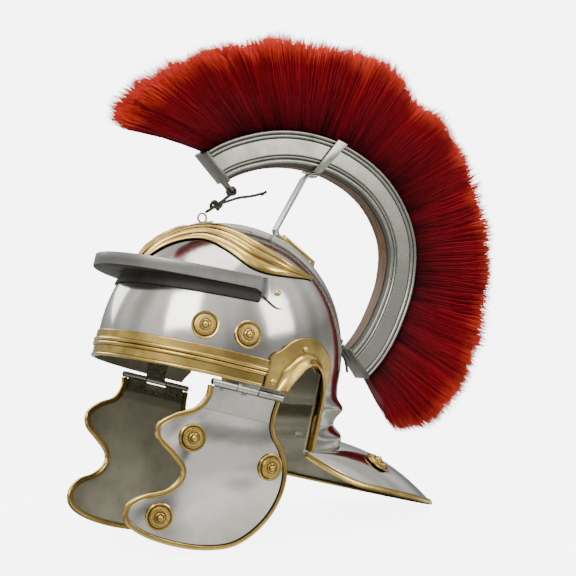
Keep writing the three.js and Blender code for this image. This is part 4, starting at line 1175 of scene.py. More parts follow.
@dataclass
class Bowl:
    """Skull, nape and neck guard in one plate, with the brass edging of the guard."""

    finishes: Finishes
    steel: float = 1.5
    columns: int = 240
    dome_rows: int = 46
    nape_rows: int = 36
    guard_rows: int = 16
    fold_over: float = 3.2
    front_end: float = 100.0
    cutter_low: float = -60.0
    cutter_half: float = 130.0

    def build(self) -> None:
        """Makes the plate and its edging."""
        outer = self._grid()
        inner = offset_grid(outer, self.steel, True)
        crown = FORM.wall_top + FORM.dome_height - self.steel
        inner[0] = [Vector((0, 0, crown)) for _ in inner[0]]

        def keep(r: int, c: int) -> bool:
            """The wall stops at the brow's edge and at the ear openings."""
            middle = 360 * (c + 0.5) / self.columns
            nape = abs(middle - 180) < 180 - FORM.nape_from
            front = min(middle, 360 - middle) < self.front_end
            return r < self.dome_rows or nape or (r == self.dome_rows and front)

        plate = solid("bowl_plate", shell(outer, inner, True, keep), self.finishes.steel)
        edge = [Vector((p.x, p.y)) for p in spline(EAR_EDGE, 60)]
        low = self.cutter_low
        outline = [Vector((edge[0].x, low)), *edge, Vector((edge[-1].x, low))]
        tool = side_block(outline, self.finishes.steel, -self.cutter_half, self.cutter_half)
        worked(plate, tool, Cut.AWAY, 40)
        self._darken_inside(plate)
        enter(plate, "root", "polished_steel", "bowl")
        self._edging(outer)

    def _grid(self) -> Rings:
        """Rows of the outer face, from the crown to the guard's rim."""
        rows: Rings = []
        for r in range(self.dome_rows + 1):
            tilt = max(0.0, math.cos(math.pi / 2 * r / self.dome_rows))
            z = FORM.wall_top + FORM.dome_height * tilt ** (2 / FORM.roundness)
            rows.append([FORM.ring(360 * c / self.columns, z) for c in range(self.columns)])
        lower = self.nape_rows + self.guard_rows
        for r in range(1, lower + 1):
            row: list[Vector] = []
            for c in range(self.columns):
                angle = 360 * c / self.columns
                if abs(angle - 180) > 180 - FORM.nape_from:
                    row.append(FORM.ring(angle, 1.0 - r))
                elif r <= self.nape_rows:
                    row.append(FORM.nape_point(angle, r / self.nape_rows))
                else:
                    row.append(FORM.guard_point(angle, (r - self.nape_rows) / self.guard_rows))
            rows.append(row)
        return rows

    def _darken_inside(self, plate: bpy.types.Object) -> None:
        """Gives the inner face the satin finish."""
        wall_low, wall_back, guard_front = -2, 112, 118
        mesh = plate.data
        mesh.materials.append(self.finishes.inner_steel)
        back = REST.turn.inverted()
        for polygon in mesh.polygons:
            place = back @ (polygon.center / MM - REST.origin)
            facing = back @ polygon.normal
            if place.z > wall_low and place.y < wall_back:
                from_middle = Vector((place.x, place.y, max(0.0, place.z - FORM.wall_top)))
                inward = facing.dot(from_middle) < 0
            else:
                inward = facing.z < -0.15 or (place.y < guard_front and facing.y < -0.2)
            polygon.material_index = 1 if inward else 0

    def _edging(self, outer: Rings) -> None:
        """Folded brass over the rim of the neck guard."""
        last = len(outer) - 1
        first = round(FORM.nape_from / 360 * self.columns)
        inner = offset_grid(outer, self.steel, True)
        stops: list[Stop] = []
        for c in range(first, self.columns - first + 1, 2):
            middle = (outer[last][c] + inner[last][c]) / 2
            through = (outer[last][c] - inner[last][c]).normalized()
            ahead, behind = min(c + 1, self.columns - first), max(c - 1, first)
            along = (outer[last][ahead] - outer[last][behind]).normalized()
            outward = along.cross(through).normalized()
            if outward.dot(middle) < 0:
                outward.negate()
            stops.append((middle, outward, through))
        for end, beside in ((0, 1), (-1, -2)):
            middle, outward, through = stops[end]
            beyond = middle + (middle - stops[beside][0]).normalized() * self.fold_over
            stops.insert(0 if end == 0 else len(stops), (beyond, outward, through))
        fold = Piping()
        piece = solid(
            "neck_guard_piping", loft(fold.sections(stops)), self.finishes.brass, crease=50,
            marks=fold.marks() * len(stops),
        )
        enter(piece, "root", "brass", "neck_guard_edging")


@dataclass(frozen=True)
class Piping:
    """Brass strip folded over the edge of a plate, round on the outside."""

    half: float = 2.0
    inside: float = 1.25
    reach: float = 3.0
    nose: float = 1.8
    lip: float = 0.6
    steps: int = 12

    def marks(self) -> list[float]:
        """How much painted shade darkens each point of a section: the edges that lie on the plate and the
        inside of the fold.
        """
        edge = [1.0, 1.0, 0.2, 0.7]
        return edge + [0.0] * (self.steps + 1) + edge[::-1] + [1.0, 1.0]

    def sections(self, stops: Sequence[Stop]) -> Rings:
        """Sections across the edge.

        Args:
            stops: Middle of the plate's edge, outward direction and direction through the plate.

        Returns:
            One ring of points for each stop.
        """
        profile: list[tuple[float, float]] = [(-self.reach, self.inside), (-self.reach, self.half)]
        profile += [(-self.reach + self.lip, self.half + 0.35), (-self.reach + 2 * self.lip, self.half)]
        for i in range(self.steps + 1):
            turn = math.pi / 2 - math.pi * i / self.steps
            profile.append((self.nose * math.cos(turn), self.half * math.sin(turn)))
        profile += [(-self.reach + 2 * self.lip, -self.half), (-self.reach + self.lip, -self.half - 0.35)]
        profile += [(-self.reach, -self.half), (-self.reach, -self.inside)]
        profile += [(0.55, -self.inside), (0.55, self.inside)]
        return [
            [middle + outward * out + through * across for out, across in profile]
            for middle, outward, through in stops
        ]


@dataclass
class BrowTrim:
    """Brass band, forehead bar and eyebrows."""

    finishes: Finishes
    band_end: float = 86.0
    band_slant: float = 0.12
    band_top: float = 23.6
    band_proud: float = 1.3
    bead_places: tuple[float, float] = (11.2, 14.9)
    bead_half: float = 1.75
    bar_half_length: float = 135.0
    bar_half_width: float = 94.0
    shelf_z: float = 78.0
    flange: float = 11.0
    strip: float = 11.0
    bar_end: float = 79.0
    bar_rise: float = 3.5
    bar_steel: float = 1.5
    flute_rows: tuple[Four, ...] = (
        (8, -101, 3, -96), (14, -93, 3, -84), (24, -80, 6, -66), (39, -63, 16, -50), (55, -50, 32, -37),
        (68, -37, 49, -24), (75.5, -24, 60, -9), (78, -6, 67, 6), (75, 16, 68, 22), (67, 38, 64.5, 38),
    )

    def build(self) -> None:
        """Makes the band, the bar and both eyebrows."""
        enter(self._band(), "root", "brass", "brow_band")
        enter(self._bar(), "root", "polished_steel", "brow_guard")
        for side in Side:
            shape, marks = self._eyebrow()
            piece = solid(f"eyebrow_relief_{side.label}", shape, self.finishes.brass, side, 50, marks)
            enter(piece, "root", "brass", f"eyebrow_{side.label}")

    def _band(self) -> bpy.types.Object:
        """Double-beaded band with a rolled lower lip."""
        back, steps, around = 0.35, 78, 170
        bead_high, lip_high, lip_at, lip_half = 1.55, 1.1, 1.3, 1.4
        ease, soft, groove_half = 0.5, 0.7, 0.45
        profile: list[tuple[float, float]] = [(back, 0.2)]
        for i in range(steps + 1):
            z = lerp(0.0, self.band_top, i / steps)
            proud = self.band_proud
            for centre in self.bead_places:
                proud += bead_high * bead(z, centre, self.bead_half)
            proud += lip_high * bead(z, lip_at, lip_half)
            profile.append((proud - ease * smooth((z - self.band_top + soft) / soft), max(0.05, z)))
        profile.append((back, self.band_top))
        rings = [
            [FORM.ring(lerp(-1, 1, i / around) * (self.band_end + self.band_slant * z), z, proud)
             for proud, z in profile]
            for i in range(around + 1)
        ]
        low, high = self.bead_places
        places = (2.9, low - self.bead_half, (low + high) / 2, high + self.bead_half, self.band_top)
        # Painted shade in the grooves beside the beads and along the top edge.
        marks = [min(1.0, sum(0.9 * groove(z, place, groove_half) for place in places)) for _, z in profile]
        brass = self.finishes.brass
        return solid("brow_band_beaded", loft(rings), brass, crease=50, marks=marks * len(rings))

    def _bar(self) -> bpy.types.Object:
        """Bar of Z section with its riveted ears."""
        rings: Rings = []
        around = 150
        t = self.bar_steel
        for i in range(around + 1):
            angle = lerp(-self.bar_end, self.bar_end, i / around)
            shelf = self.shelf_z + self.bar_rise * (abs(angle) / self.bar_end) ** 3
            turned = math.radians(angle)

            def out(z: float, inward: float) -> Vector:
                """Point of the flange."""
                return Vector((
                    (self.bar_half_width - inward) * math.sin(turned),
                    -(self.bar_half_length - inward) * math.cos(turned), z,
                ))

            rings.append([
                FORM.ring(angle, shelf - self.strip, 0.6), FORM.ring(angle, shelf - self.strip, 1.8),
                FORM.ring(angle, shelf - self.strip + 0.4, 0.6 + t), FORM.ring(angle, shelf - t - 1, 0.6 + t),
                FORM.ring(angle, shelf - t, 1.4 + t), out(shelf - t, 0.5), out(shelf - t + 0.5, 0),
                out(shelf + self.flange - t - 0.4, 0), out(shelf + self.flange - t, 0.5),
                out(shelf + self.flange - t, t - 0.4), out(shelf + self.flange - t - 0.4, t),
                out(shelf + 0.4, t), out(shelf, t + 0.5), FORM.ring(angle, shelf, 0.6),
            ])
        # Painted shade: dark on the strip under the shelf and on its underside, and where the shelf meets the
        # bowl.
        marks = [0.85] * 6 + [0.25, 0.0, 0.0, 0.0, 0.3, 0.6, 0.9, 1.0]
        parts = [solid("bar", loft(rings), self.finishes.bar_steel, crease=50, marks=marks * len(rings))]
        parts += [solid("ear", self._bar_ear(), self.finishes.steel, side, 50) for side in Side]
        return joined("brow_guard_bar", parts)

    def _bar_ear(self) -> Shape:
        """Rounded ear that lies on the bowl's side."""
        columns, rows = 44, 14
        centre_y, centre_z, radius, front = -4.0, 82.0, 13.0, -28.0
        grid: Rings = []
        for r in range(rows + 1):
            line: list[Vector] = []
            for c in range(columns + 1):
                along = c / columns
                y = lerp(front, centre_y + radius, math.sin(along * math.pi / 2) ** 1.1)
                reach = max(0.0, y - centre_y) / radius
                half = lerp(self.flange / 2, radius, smooth(along * 2))
                half *= math.sqrt(max(0.004, 1 - reach ** 2))
                middle = lerp(self.shelf_z + self.bar_rise + 3.6, centre_z, smooth(along * 2))
                z = middle + half * (1 - 2 * r / rows)
                on_bowl = FORM.side_x(y, z, 0.6 + self.bar_steel)
                on_bar = self.bar_half_width * math.sqrt(1 - (y / self.bar_half_length) ** 2) - 0.1
                line.append(Vector((lerp(on_bar, on_bowl, smooth((y - front) / 16)), y, z)))
            grid.append(line)
        return shell(grid, [[Vector((p.x - self.bar_steel, p.y, p.z)) for p in line] for line in grid])

    def _eyebrow(self) -> tuple[Shape, list[float]]:
        """Three rounded flutes between thin rims, dying out at both ends.

        Returns:
            The shape, and how much painted shade darkens each point.
        """
        stations, across = 90, 42
        low = spline([(row[0], row[1]) for row in self.flute_rows], stations)
        high = spline([(row[2], row[3]) for row in self.flute_rows], stations)
        rings: Rings = []
        marks: list[float] = []
        for i, (a, b) in enumerate(zip(low, high)):
            share = i / (stations - 1)
            height = smooth(share * 7 + 0.25) * smooth((1 - share) * 3.2 + 0.2)
            ring: list[Vector] = []
            for k in range(across + 1):
                t = k / across
                flute = abs(math.sin(3 * math.pi * t)) ** 0.75
                crown = 0.75 + 0.25 * math.sin(math.pi * t)
                proud = 1.25 + 3.0 * height * flute * crown
                ring.append(FORM.over(*a.lerp(b, t).xy, proud))
                # Painted shade in the grooves between the flutes, and along the rim.
                marks.append(max(0.0, 1 - flute * 1.7))
            marks += [1.0] * 7
            ring += [FORM.over(*a.lerp(b, 1 - k / 6).xy, 0.9) for k in range(7)]
            rings.append(ring)
        return loft(rings), marks


@dataclass
class EarGuard:
    """Flared brass guard over one ear opening."""

    finishes: Finishes
    side: Side
    lip: float = 9.0
    lip_share: float = 0.42
    lip_power: float = 1.9
    brass: float = 1.2
    proud: float = 1.3
    fold: float = 0.3
    roll: float = 1.15
    edge_rows: int = 16
    widths: Table = ((0, 18.7), (0.1, 29), (0.22, 26), (0.42, 22), (0.58, 11), (1, 9))
    steps: int = 96

    def build(self) -> None:
        """Makes the guard and its rolled lip."""
        shares = [1.0, 0.985] + [1 - i / self.edge_rows for i in range(1, self.edge_rows + 1)]
        outer: Rings = [[] for _ in shares]
        inner: Rings = [[] for _ in shares]
        lip_line: list[Vector] = []
        edge = spline(EAR_EDGE, self.steps + 1)
        for i, place in enumerate(edge):
            along = i / self.steps
            ahead = edge[min(self.steps, i + 1)] - edge[max(0, i - 1)]
            away = Vector((-ahead.y, ahead.x)).normalized()
            turned = smooth(along / 0.06)
            away = Vector((-1, 0)).lerp(away, turned).normalized()
            width = table_value(self.widths, along)
            for row, share in enumerate(shares):
                y = place.x + away.x * width * share
                z = place.y + away.y * width * share
                level = z if along > 0.5 else max(0.6, z)
                rise = self.lip * (max(0.0, 1 - share / self.lip_share)) ** self.lip_power
                x = FORM.side_x(y, level)
                back = self.brass * smooth((self.fold - share) / self.fold)
                inner[row].append(Vector((x + self.proud + rise, y, level)))
                thin = 0.75 if row == 0 else 1.0
                outer[row].append(Vector((
                    x + self.proud + rise + self.brass * (thin - 0.4 * back / self.brass),
                    y + away.x * back, level + away.y * back,
                )))
            lip_line.append((outer[-1][-1] + inner[-1][-1]) / 2)
        wide, rows = len(edge), len(shares)
        # Painted shade: dark along the edge that lies on the bowl, a little dark on the underside.
        marks = [1.0] * wide + [0.7] * wide + [0.0] * (wide * (rows - 2)) + [0.2] * (wide * rows)
        name, finish = f"ear_guard_flared_{self.side.label}", self.finishes.brass
        guard = solid(name, shell(outer, inner), finish, self.side, 50, marks)
        roll = solid("roll", tube(lip_line, self.roll, 10), finish, self.side, 50)
        piece = joined(f"ear_guard_brass_{self.side.label}", (guard, roll))
        enter(piece, "root", "brass", f"ear_guard_{self.side.label}")


def tube(path: Sequence[Vector], radius: float | Callable[[float], float], sides: int) -> Shape:
    """Round rod along a path.

    Args:
        path: Points of its middle line.
        radius: One radius, or a function of the share along the path.
        sides: Corners of its section.

    Returns:
        Points and faces.
    """
    rings: Rings = []
    across = Vector((0, 0, 0))
    for i, point in enumerate(path):
        ahead = (path[min(len(path) - 1, i + 1)] - path[max(0, i - 1)]).normalized()
        if i == 0:
            across = ahead.orthogonal().normalized()
        across = (across - ahead * across.dot(ahead)).normalized()
        other = ahead.cross(across)
        size = radius(i / (len(path) - 1)) if callable(radius) else radius
        rings.append([
            point + (across * math.cos(turn) + other * math.sin(turn)) * size for turn in turns(sides)
        ])
    return loft(rings)


@dataclass(frozen=True)
class CheekForm:
    """Curved surface of the left cheek guard."""

    lean: float = 0.163
    front_curl: float = 0.0042
    curl_y: float = -45.0
    fold: float = -28.0
    bulge: float = 4.5
    steel: float = 1.5
    edge: Table = (
        (-50, -8.6), (-49.5, -18), (-56, -30), (-72, -39), (-82, -49), (-80, -60), (-66, -70), (-54.5, -80),
        (-53.5, -91), (-63, -102), (-79, -110), (-88, -121), (-84, -133), (-66, -140.5), (-38, -143.6),
        (-10, -142), (14, -135), (31, -120), (42, -101), (46, -81), (43, -62), (33, -47), (22, -36),
        (18, -24), (18, -8.6),
    )

    def x(self, y: float, z: float) -> float:
        """Outer face at a place seen from the side."""
        curl = self.front_curl * max(0.0, self.curl_y - y) ** 2
        below = max(0.0, self.fold - z) / 115
        across = max(0.0, 1 - ((y + 20) / 75) ** 2)
        bulge = self.bulge * math.sin(math.pi * min(1.0, below)) * across
        return HINGE_CENTRE.x - 1 + self.lean * (z - HINGE_CENTRE.z) - curl + bulge

    def point(self, y: float, z: float) -> Vector:
        """Point of the outer face."""
        return Vector((self.x(y, z), y, z))

    def normal(self, y: float, z: float) -> Vector:
        """Outward normal of the outer face."""
        along = self.point(y + 1, z) - self.point(y - 1, z)
        return along.cross(self.point(y, z + 1) - self.point(y, z - 1)).normalized()


CHEEK = CheekForm()


@dataclass
class CheekGuard:
    """Cheek plate of one side with its edging and its half of the hinge."""

    finishes: Finishes
    side: Side
    outline_steps: int = 190

    def build(self) -> None:
        """Makes the plate, the edging and the hinge leaves."""
        body = f"cheek_{self.side.label}"
        outline = spline(CHEEK.edge, self.outline_steps)
        enter(self._plate(outline), body, "polished_steel", f"cheek_guard_{self.side.label}")
        enter(self._edging(outline), body, "brass", f"cheek_edging_{self.side.label}")
        hinge = Hinge(self.finishes, self.side)
        enter(hinge.cheek_half(), body, "plain_steel", f"cheek_hinge_{self.side.label}")
        enter(hinge.bowl_half(), "root", "plain_steel", f"bowl_hinge_{self.side.label}")
        enter(hinge.pin(), "root", "plain_steel", f"hinge_pin_{self.side.label}")

    def _plate(self, outline: Sequence[Vector]) -> bpy.types.Object:
        """The plate, cut to its outline."""
        top, low, front, back, soft = -6, -152, -98, 56, 1.2
        columns, rows, upper_rows = 60, 46, 8
        levels = [lerp(top, CHEEK.fold + soft, i / upper_rows) for i in range(upper_rows + 1)]
        levels += [CHEEK.fold + 0.5, CHEEK.fold, CHEEK.fold - 0.5]
        levels += [lerp(CHEEK.fold - soft, low, i / rows) for i in range(rows + 1)]
        grid = [[CHEEK.point(lerp(front, back, c / columns), z) for c in range(columns + 1)] for z in levels]
        inside = [[Vector((p.x - CHEEK.steel, p.y, p.z)) for p in row] for row in grid]
        name = f"cheek_plate_{self.side.label}"
        plate = solid(name, shell(grid, inside), self.finishes.cheek_steel, self.side, 28)
        reach = sorted((40 * self.side.value, 120 * self.side.value))
        worked(plate, side_block(outline, self.finishes.cheek_steel, *reach), Cut.COMMON, 28)
        plate.data.materials.append(self.finishes.inner_steel)
        for polygon in plate.data.polygons:
            inward = polygon.normal.x * self.side.value < -0.3
            polygon.material_index = 1 if inward else 0
        return plate

    def _edging(self, outline: Sequence[Vector]) -> bpy.types.Object:
        """Brass piping round the plate."""
        points = [CHEEK.point(p.x, p.y) for p in outline]
        stops: list[Stop] = []
        for i, point in enumerate(points):
            along = points[min(len(points) - 1, i + 1)] - points[max(0, i - 1)]
            through = CHEEK.normal(point.y, point.z)
            outward = along.cross(through).normalized()
            stops.append((point - Vector((CHEEK.steel / 2, 0, 0)), outward, through))
        name = f"cheek_piping_{self.side.label}"
        fold = Piping()
        return solid(
            name, loft(fold.sections(stops)), self.finishes.brass, self.side, 50, fold.marks() * len(stops),
        )


@dataclass(frozen=True)
class Hinge:
    """Three-knuckle hinge of one cheek guard."""

    finishes: Finishes
    side: Side
    radius: float = 2.8
    bore: float = 1.5
    pin_radius: float = 1.2
    front: float = -50.0
    back: float = 20.0
    middle: tuple[float, float] = (-26.0, -5.0)
    gap: float = 0.3
    leaf: float = 1.2
    leaf_ends: tuple[float, float] = (-45.0, 13.0)
    leaf_foot: float = -20.0
    strap_top: float = -15.0
    clear: float = 0.4

    def _knuckle(self, start: float, end: float) -> bpy.types.Object:
        """One barrel with a bore and eased ends."""
        ease = 0.45
        profile = (
            (self.bore, start), (self.radius - ease, start), (self.radius, start + ease),
            (self.radius, end - ease), (self.radius - ease, end), (self.bore, end),
        )
        sides = 28
        rings = [
            [
                Vector((HINGE_CENTRE.x + reach * math.cos(turn), y, HINGE_CENTRE.z + reach * math.sin(turn)))
                for reach, y in profile
            ]
            for turn in turns(sides)
        ]
        # Painted shade in the bore and on the end faces, at the gaps between knuckles.
        marks = (1.0, 1.0, 0.0, 0.0, 1.0, 1.0) * sides
        return solid("knuckle", loft(rings, True), self.finishes.bar_steel, self.side, 40, marks)

    def _leaf(
        self, start: float, end: float, section: Callable[[float], list[tuple[float, float]]],
    ) -> bpy.types.Object:
        """A leaf of sheet metal between two places along the hinge."""
        rings = [
            [Vector((x, y, z)) for x, z in section(y)]
            for y in (lerp(start, end, i / 10) for i in range(11))
        ]
        return solid("leaf", loft(rings), self.finishes.crest_steel, self.side, 40)

    def bowl_half(self) -> bpy.types.Object:
        """Middle knuckle with the leaf inside the bowl's wall."""
        start, end = self.middle[0] + self.gap, self.middle[1] - self.gap

        def section(y: float) -> list[tuple[float, float]]:
            """Section of the leaf."""
            face = FORM.side_x(y, 5) - 1.5 - 0.5
            x, z = HINGE_CENTRE.x, HINGE_CENTRE.z
            return [
                (face, 13), (face, 0.5), (x + 2.2, z + 1.5), (x + 0.4, z + 2.2),
                (face - self.leaf, 1.2), (face - self.leaf, 13),
            ]

        parts = (self._knuckle(start, end), self._leaf(start, end, section))
        return joined(f"bowl_hinge_leaf_{self.side.label}", parts)

    def cheek_half(self) -> bpy.types.Object:
        """Outer knuckles with their leaves and the strap behind the plate."""

        def behind(y: float, z: float) -> float:
            """Place just behind the cheek plate."""
            return CHEEK.x(y, z) - CHEEK.steel - self.clear

        def section(y: float) -> list[tuple[float, float]]:
            """Section of a leaf."""
            x, z, low = HINGE_CENTRE.x, HINGE_CENTRE.z, self.leaf_foot
            top, foot = behind(y, -10), behind(y, low)
            return [
                (x - 0.8, z - 2.1), (top, z - 4.6), (foot, low), (foot - self.leaf, low),
                (top - self.leaf, z - 4), (x - 2.1, z - 0.8),
            ]

        def strap(y: float) -> list[tuple[float, float]]:
            """Section of the strap."""
            low, high = self.leaf_foot, self.strap_top
            foot, top = behind(y, low), behind(y, high)
            return [(foot, low), (foot - self.leaf, low), (top - self.leaf, high), (top, high)]

        start, end = self.leaf_ends
        parts = [
            self._knuckle(self.front, self.middle[0]), self._knuckle(self.middle[1], self.back),
            self._leaf(start, self.middle[0], section), self._leaf(self.middle[1], end, section),
            self._leaf(start, end, strap),
        ]
        return joined(f"cheek_hinge_leaf_{self.side.label}", parts)

    def pin(self) -> bpy.types.Object:
        """The pin with slightly domed ends."""
        start, end = self.front - 1, self.back + 1
        path = [Vector((HINGE_CENTRE.x, y, HINGE_CENTRE.z)) for y in (start, start + 0.4, end - 0.4, end)]
        name = f"hinge_wire_{self.side.label}"
        size = self.pin_radius

        def radius(share: float) -> float:
            """Radius along the pin."""
            return size * (0.6 if share in (0.0, 1.0) else 1.0)

        return solid(name, tube(path, radius, 20), self.finishes.crest_steel, self.side, 40)


@dataclass
class Rosettes:
    """Stepped discs with a ribbed ring and a domed rivet, and the plain rivets."""

    finishes: Finishes
    radius: float = 12.0
    ribs: int = 26
    rib_ring: float = 6.7
    bowl_places: tuple[float, float] = (-62.0, -27.0)
    bowl_height: float = 40.0
    cheek_places: Table = ((-53, -54), (26.5, -64), (-61, -123))
    neck_angles: tuple[float, float] = (153.0, 207.0)
    neck_out: float = 0.52

    def build(self) -> None:
        """Makes every rosette and rivet."""
        master = self._master()
        for side in Side:
            for i, y in enumerate(self.bowl_places):
                place = Vector((FORM.side_x(y, self.bowl_height), y, self.bowl_height))
                normal = FORM.dome_normal(place)
                self._set(master, f"bowl_rosette_{side.label}_{i + 1}", "root", place, normal, side, 0.3)
            for i, (y, z) in enumerate(self.cheek_places):
                name = f"cheek_rosette_{side.label}_{i + 1}"
                body = f"cheek_{side.label}"
                self._set(master, name, body, CHEEK.point(y, z), CHEEK.normal(y, z), side, 0.5)
        for i, angle in enumerate(self.neck_angles):
            place = FORM.guard_point(angle, self.neck_out)
            around = FORM.guard_point(angle + 3, self.neck_out) - place
            outward = FORM.guard_point(angle, self.neck_out + 0.1) - place
            normal = outward.cross(around).normalized()
            if normal.z < 0:
                normal.negate()
            self._set(master, f"neck_rosette_{i + 1}", "root", place, normal, Side.LEFT, 0.6)
        bpy.data.objects.remove(master)
        self._rivets()

    def _master(self) -> bpy.types.Object:
        """One rosette with its back in the plane z = 0, in millimetres."""
        r = self.radius
        profile = (
            (0, 0), (r - 0.3, 0), (r, 0.4), (r - 0.1, 1.0), (r - 0.6, 1.35), (9.9, 1.2), (9.6, 0.9),
            (9.3, 1.2), (9.1, 2.2), (8.7, 2.7), (8.1, 2.75), (5.2, 3.3), (4.9, 3.1), (4.5, 3.1), (4.1, 3.7),
            (3.6, 3.9), (3.1, 3.6), (2.9, 4.0), (2.6, 5.0), (1.9, 5.9), (1.0, 6.35), (0, 6.5),
        )
        disc = lathed("rosette disc", profile, 56, self.finishes.brass)
        # Painted shade in the grooves, between the ribs and under the back rim.
        marks: list[float] = []
        for vertex in disc.data.vertices:
            reach = math.hypot(vertex.co.x, vertex.co.y)
            marks.append(max(
                groove(reach, 9.6, 0.45), 0.45 if 5.0 < reach < 8.3 else 0.0, groove(reach, 4.7, 0.4),
                0.8 * groove(reach, 3.1, 0.3), 0.9 if vertex.co.z < 0.3 else 0.0,
            ))
        store(disc.data, "patina", marks)
        return joined("rosette master", (disc, self._ribs()))

    def _ribs(self) -> bpy.types.Object:
        """Ring of small radial ribs, laid by Geometry Nodes."""
        sizes = {"Ring Radius": self.rib_ring, "Rib Length": 2.6, "Rib Width": 1.1, "Lift": 2.95}
        kinds = {**dict.fromkeys(sizes, "Float"), "Count": "Int", "Finish": "Material"}
        bench, given, sockets = geometry_tree("rib ring", kinds)
        ring = bench.add("GeometryNodeMeshCircle", Vertices=given["Count"], Radius=given["Ring Radius"])
        rib = bench.add("GeometryNodeMeshIcoSphere", Radius=0.5, Subdivisions=2)
        place = bench.add("GeometryNodeInputPosition")
        turn = bench.add("FunctionNodeAlignRotationToVector", {"axis": "X"}, Vector=place.outputs[0])
        wide = given["Rib Width"]
        size = bench.add("ShaderNodeCombineXYZ", X=given["Rib Length"], Y=wide, Z=wide)
        laid = bench.add(
            "GeometryNodeInstanceOnPoints", Points=ring.outputs[0], Instance=rib.outputs[0],
            Rotation=turn.outputs[0], Scale=size.outputs[0],
        )
        lift = bench.add("ShaderNodeCombineXYZ", Z=given["Lift"])
        moved = bench.add("GeometryNodeTransform", Geometry=laid.outputs[0], Translation=lift.outputs[0])
        real = bench.add("GeometryNodeRealizeInstances", Geometry=moved.outputs[0])
        bench.finished(real.outputs[0], given["Finish"])
        values = {**sizes, "Count": self.ribs, "Finish": self.finishes.brass}
        return grown(linked("ribs", bpy.data.meshes.new("ribs")), bench.tree, sockets, values)

    def _set(
        self, master: bpy.types.Object, node: str, body: str, place: Vector, normal: Vector, side: Side,
        proud: float,
    ) -> None:
        """Sets a copy of a fastener on a surface.

        Args:
            master: The fastener, its back in the plane z = 0.
            node: The node that it stands for.
            body: The body that it rides on.
            place: Where it sits, as for the left side.
            normal: The surface's outward normal there.
            side: The side that it goes on.
            proud: How far its back stands off.
        """
        mesh = master.data.copy()
        turn = Vector((0, 0, 1)).rotation_difference(normal).to_matrix()
        for vertex in mesh.vertices:
            point = turn @ vertex.co + place + normal * proud
            vertex.co = REST.place(Vector((point.x * side.value, point.y, point.z)))
        if side is Side.RIGHT:
            mesh.flip_normals()
        shade(mesh, 40)
        enter(linked(f"{node}_relief", mesh), body, "brass", node)

    def _rivets(self) -> None:
        """Round rivet heads of the forehead bar and the ear guards."""
        profile = ((0, 0), (2.9, 0), (2.9, 0.3), (2.6, 1.1), (1.9, 1.75), (1.0, 2.1), (0, 2.2))
        master = lathed("rivet head", profile, 24, self.finishes.brass)
        for side in Side:
            for label, y, z, proud in (
                (f"brow_guard_rivet_{side.label}", -5, 81, 2.4),
                (f"ear_rivet_{side.label}_1", 30, 40, 2.7),
                (f"ear_rivet_{side.label}_2", 3, 6, 2.7),
            ):
                place = Vector((FORM.side_x(y, z), y, z))
                normal = FORM.dome_normal(place) if z > FORM.wall_top else Vector((1, 0, 0))
                self._set(master, label, "root", place, normal, side, proud)
        bpy.data.objects.remove(master)


@dataclass(frozen=True)
class CrestForm:
    """The arc of the crest box in the middle plane, and the fan of hair beyond it."""

    centre_y: float = 54.0
    centre_z: float = 122.0
    height: float = 33.0
    half_width: float = 10.0
    front: float = 146.0
    back: float = -38.0
    reach: Table = (
        (-40, 130), (-10, 129.5), (10, 134), (28, 138), (50, 135.5), (75, 129.5), (100, 127.5), (125, 131),
        (146, 139.5),
    )
    hair: Table = (
        (-40, 62), (-30, 92), (-14, 102), (10, 98), (45, 98), (58, 100), (64, 90), (72, 102), (100, 94),
        (125, 95), (138, 101), (146, 88),
    )
    root_half: float = 7.6
    tip_half: float = 24.0
    front_splay: float = 14.0
    back_splay: float = 1.0
    end_gap: float = 0.4

    def _on_arc(self, angle: float, extra: float, out: float, x: float) -> Vector:
        """Point beyond the box's outer edge, turned on by some more degrees."""
        reach = curve_value(self.reach, angle) + out
        turned = math.radians(angle + extra)
        return Vector((x, self.centre_y + reach * math.cos(turned), self.centre_z + reach * math.sin(turned)))

    def point(self, angle: float, out: float, x: float) -> Vector:
        """Point at an angle above the back, a distance beyond the box's outer edge."""
        return self._on_arc(angle, 0.0, out, x)

    def carried(self, section: Table, steps: int) -> Rings:
        """A section, as inward and x, at each step along the box from the front."""
        return [
            [self.point(lerp(self.front, self.back, i / steps), -inward, x) for inward, x in section]
            for i in range(steps + 1)
        ]

    def hair_angle(self, share: float) -> float:
        """Angle of the hair's roots at a share of the arc from the front."""
        return lerp(self.front - self.end_gap, self.back + self.end_gap, share)

    def splay(self, share: float) -> float:
        """Extra turn of the hair at a share of the arc from the front."""
        if share < 0.5:
            return self.front_splay * (1 - smooth(share * 3))
        return -self.back_splay * smooth(share * 3 - 2)

    def hair_point(self, share: float, out: float, x: float) -> Vector:
        """Point in the fan of hair."""
        return self._on_arc(self.hair_angle(share), self.splay(share) * max(0.0, out) / 90, out, x)

    def hair_length(self, share: float) -> float:
        """Length of the hair at a share of the arc."""
        return curve_value(self.hair, self.hair_angle(share))

    def tip_width(self, share: float) -> float:
        """Half width of the fan's edge, less at both ends."""
        return self.tip_half * min(1.0, min(share, 1 - share) * 9 + 0.55)


CREST = CrestForm()


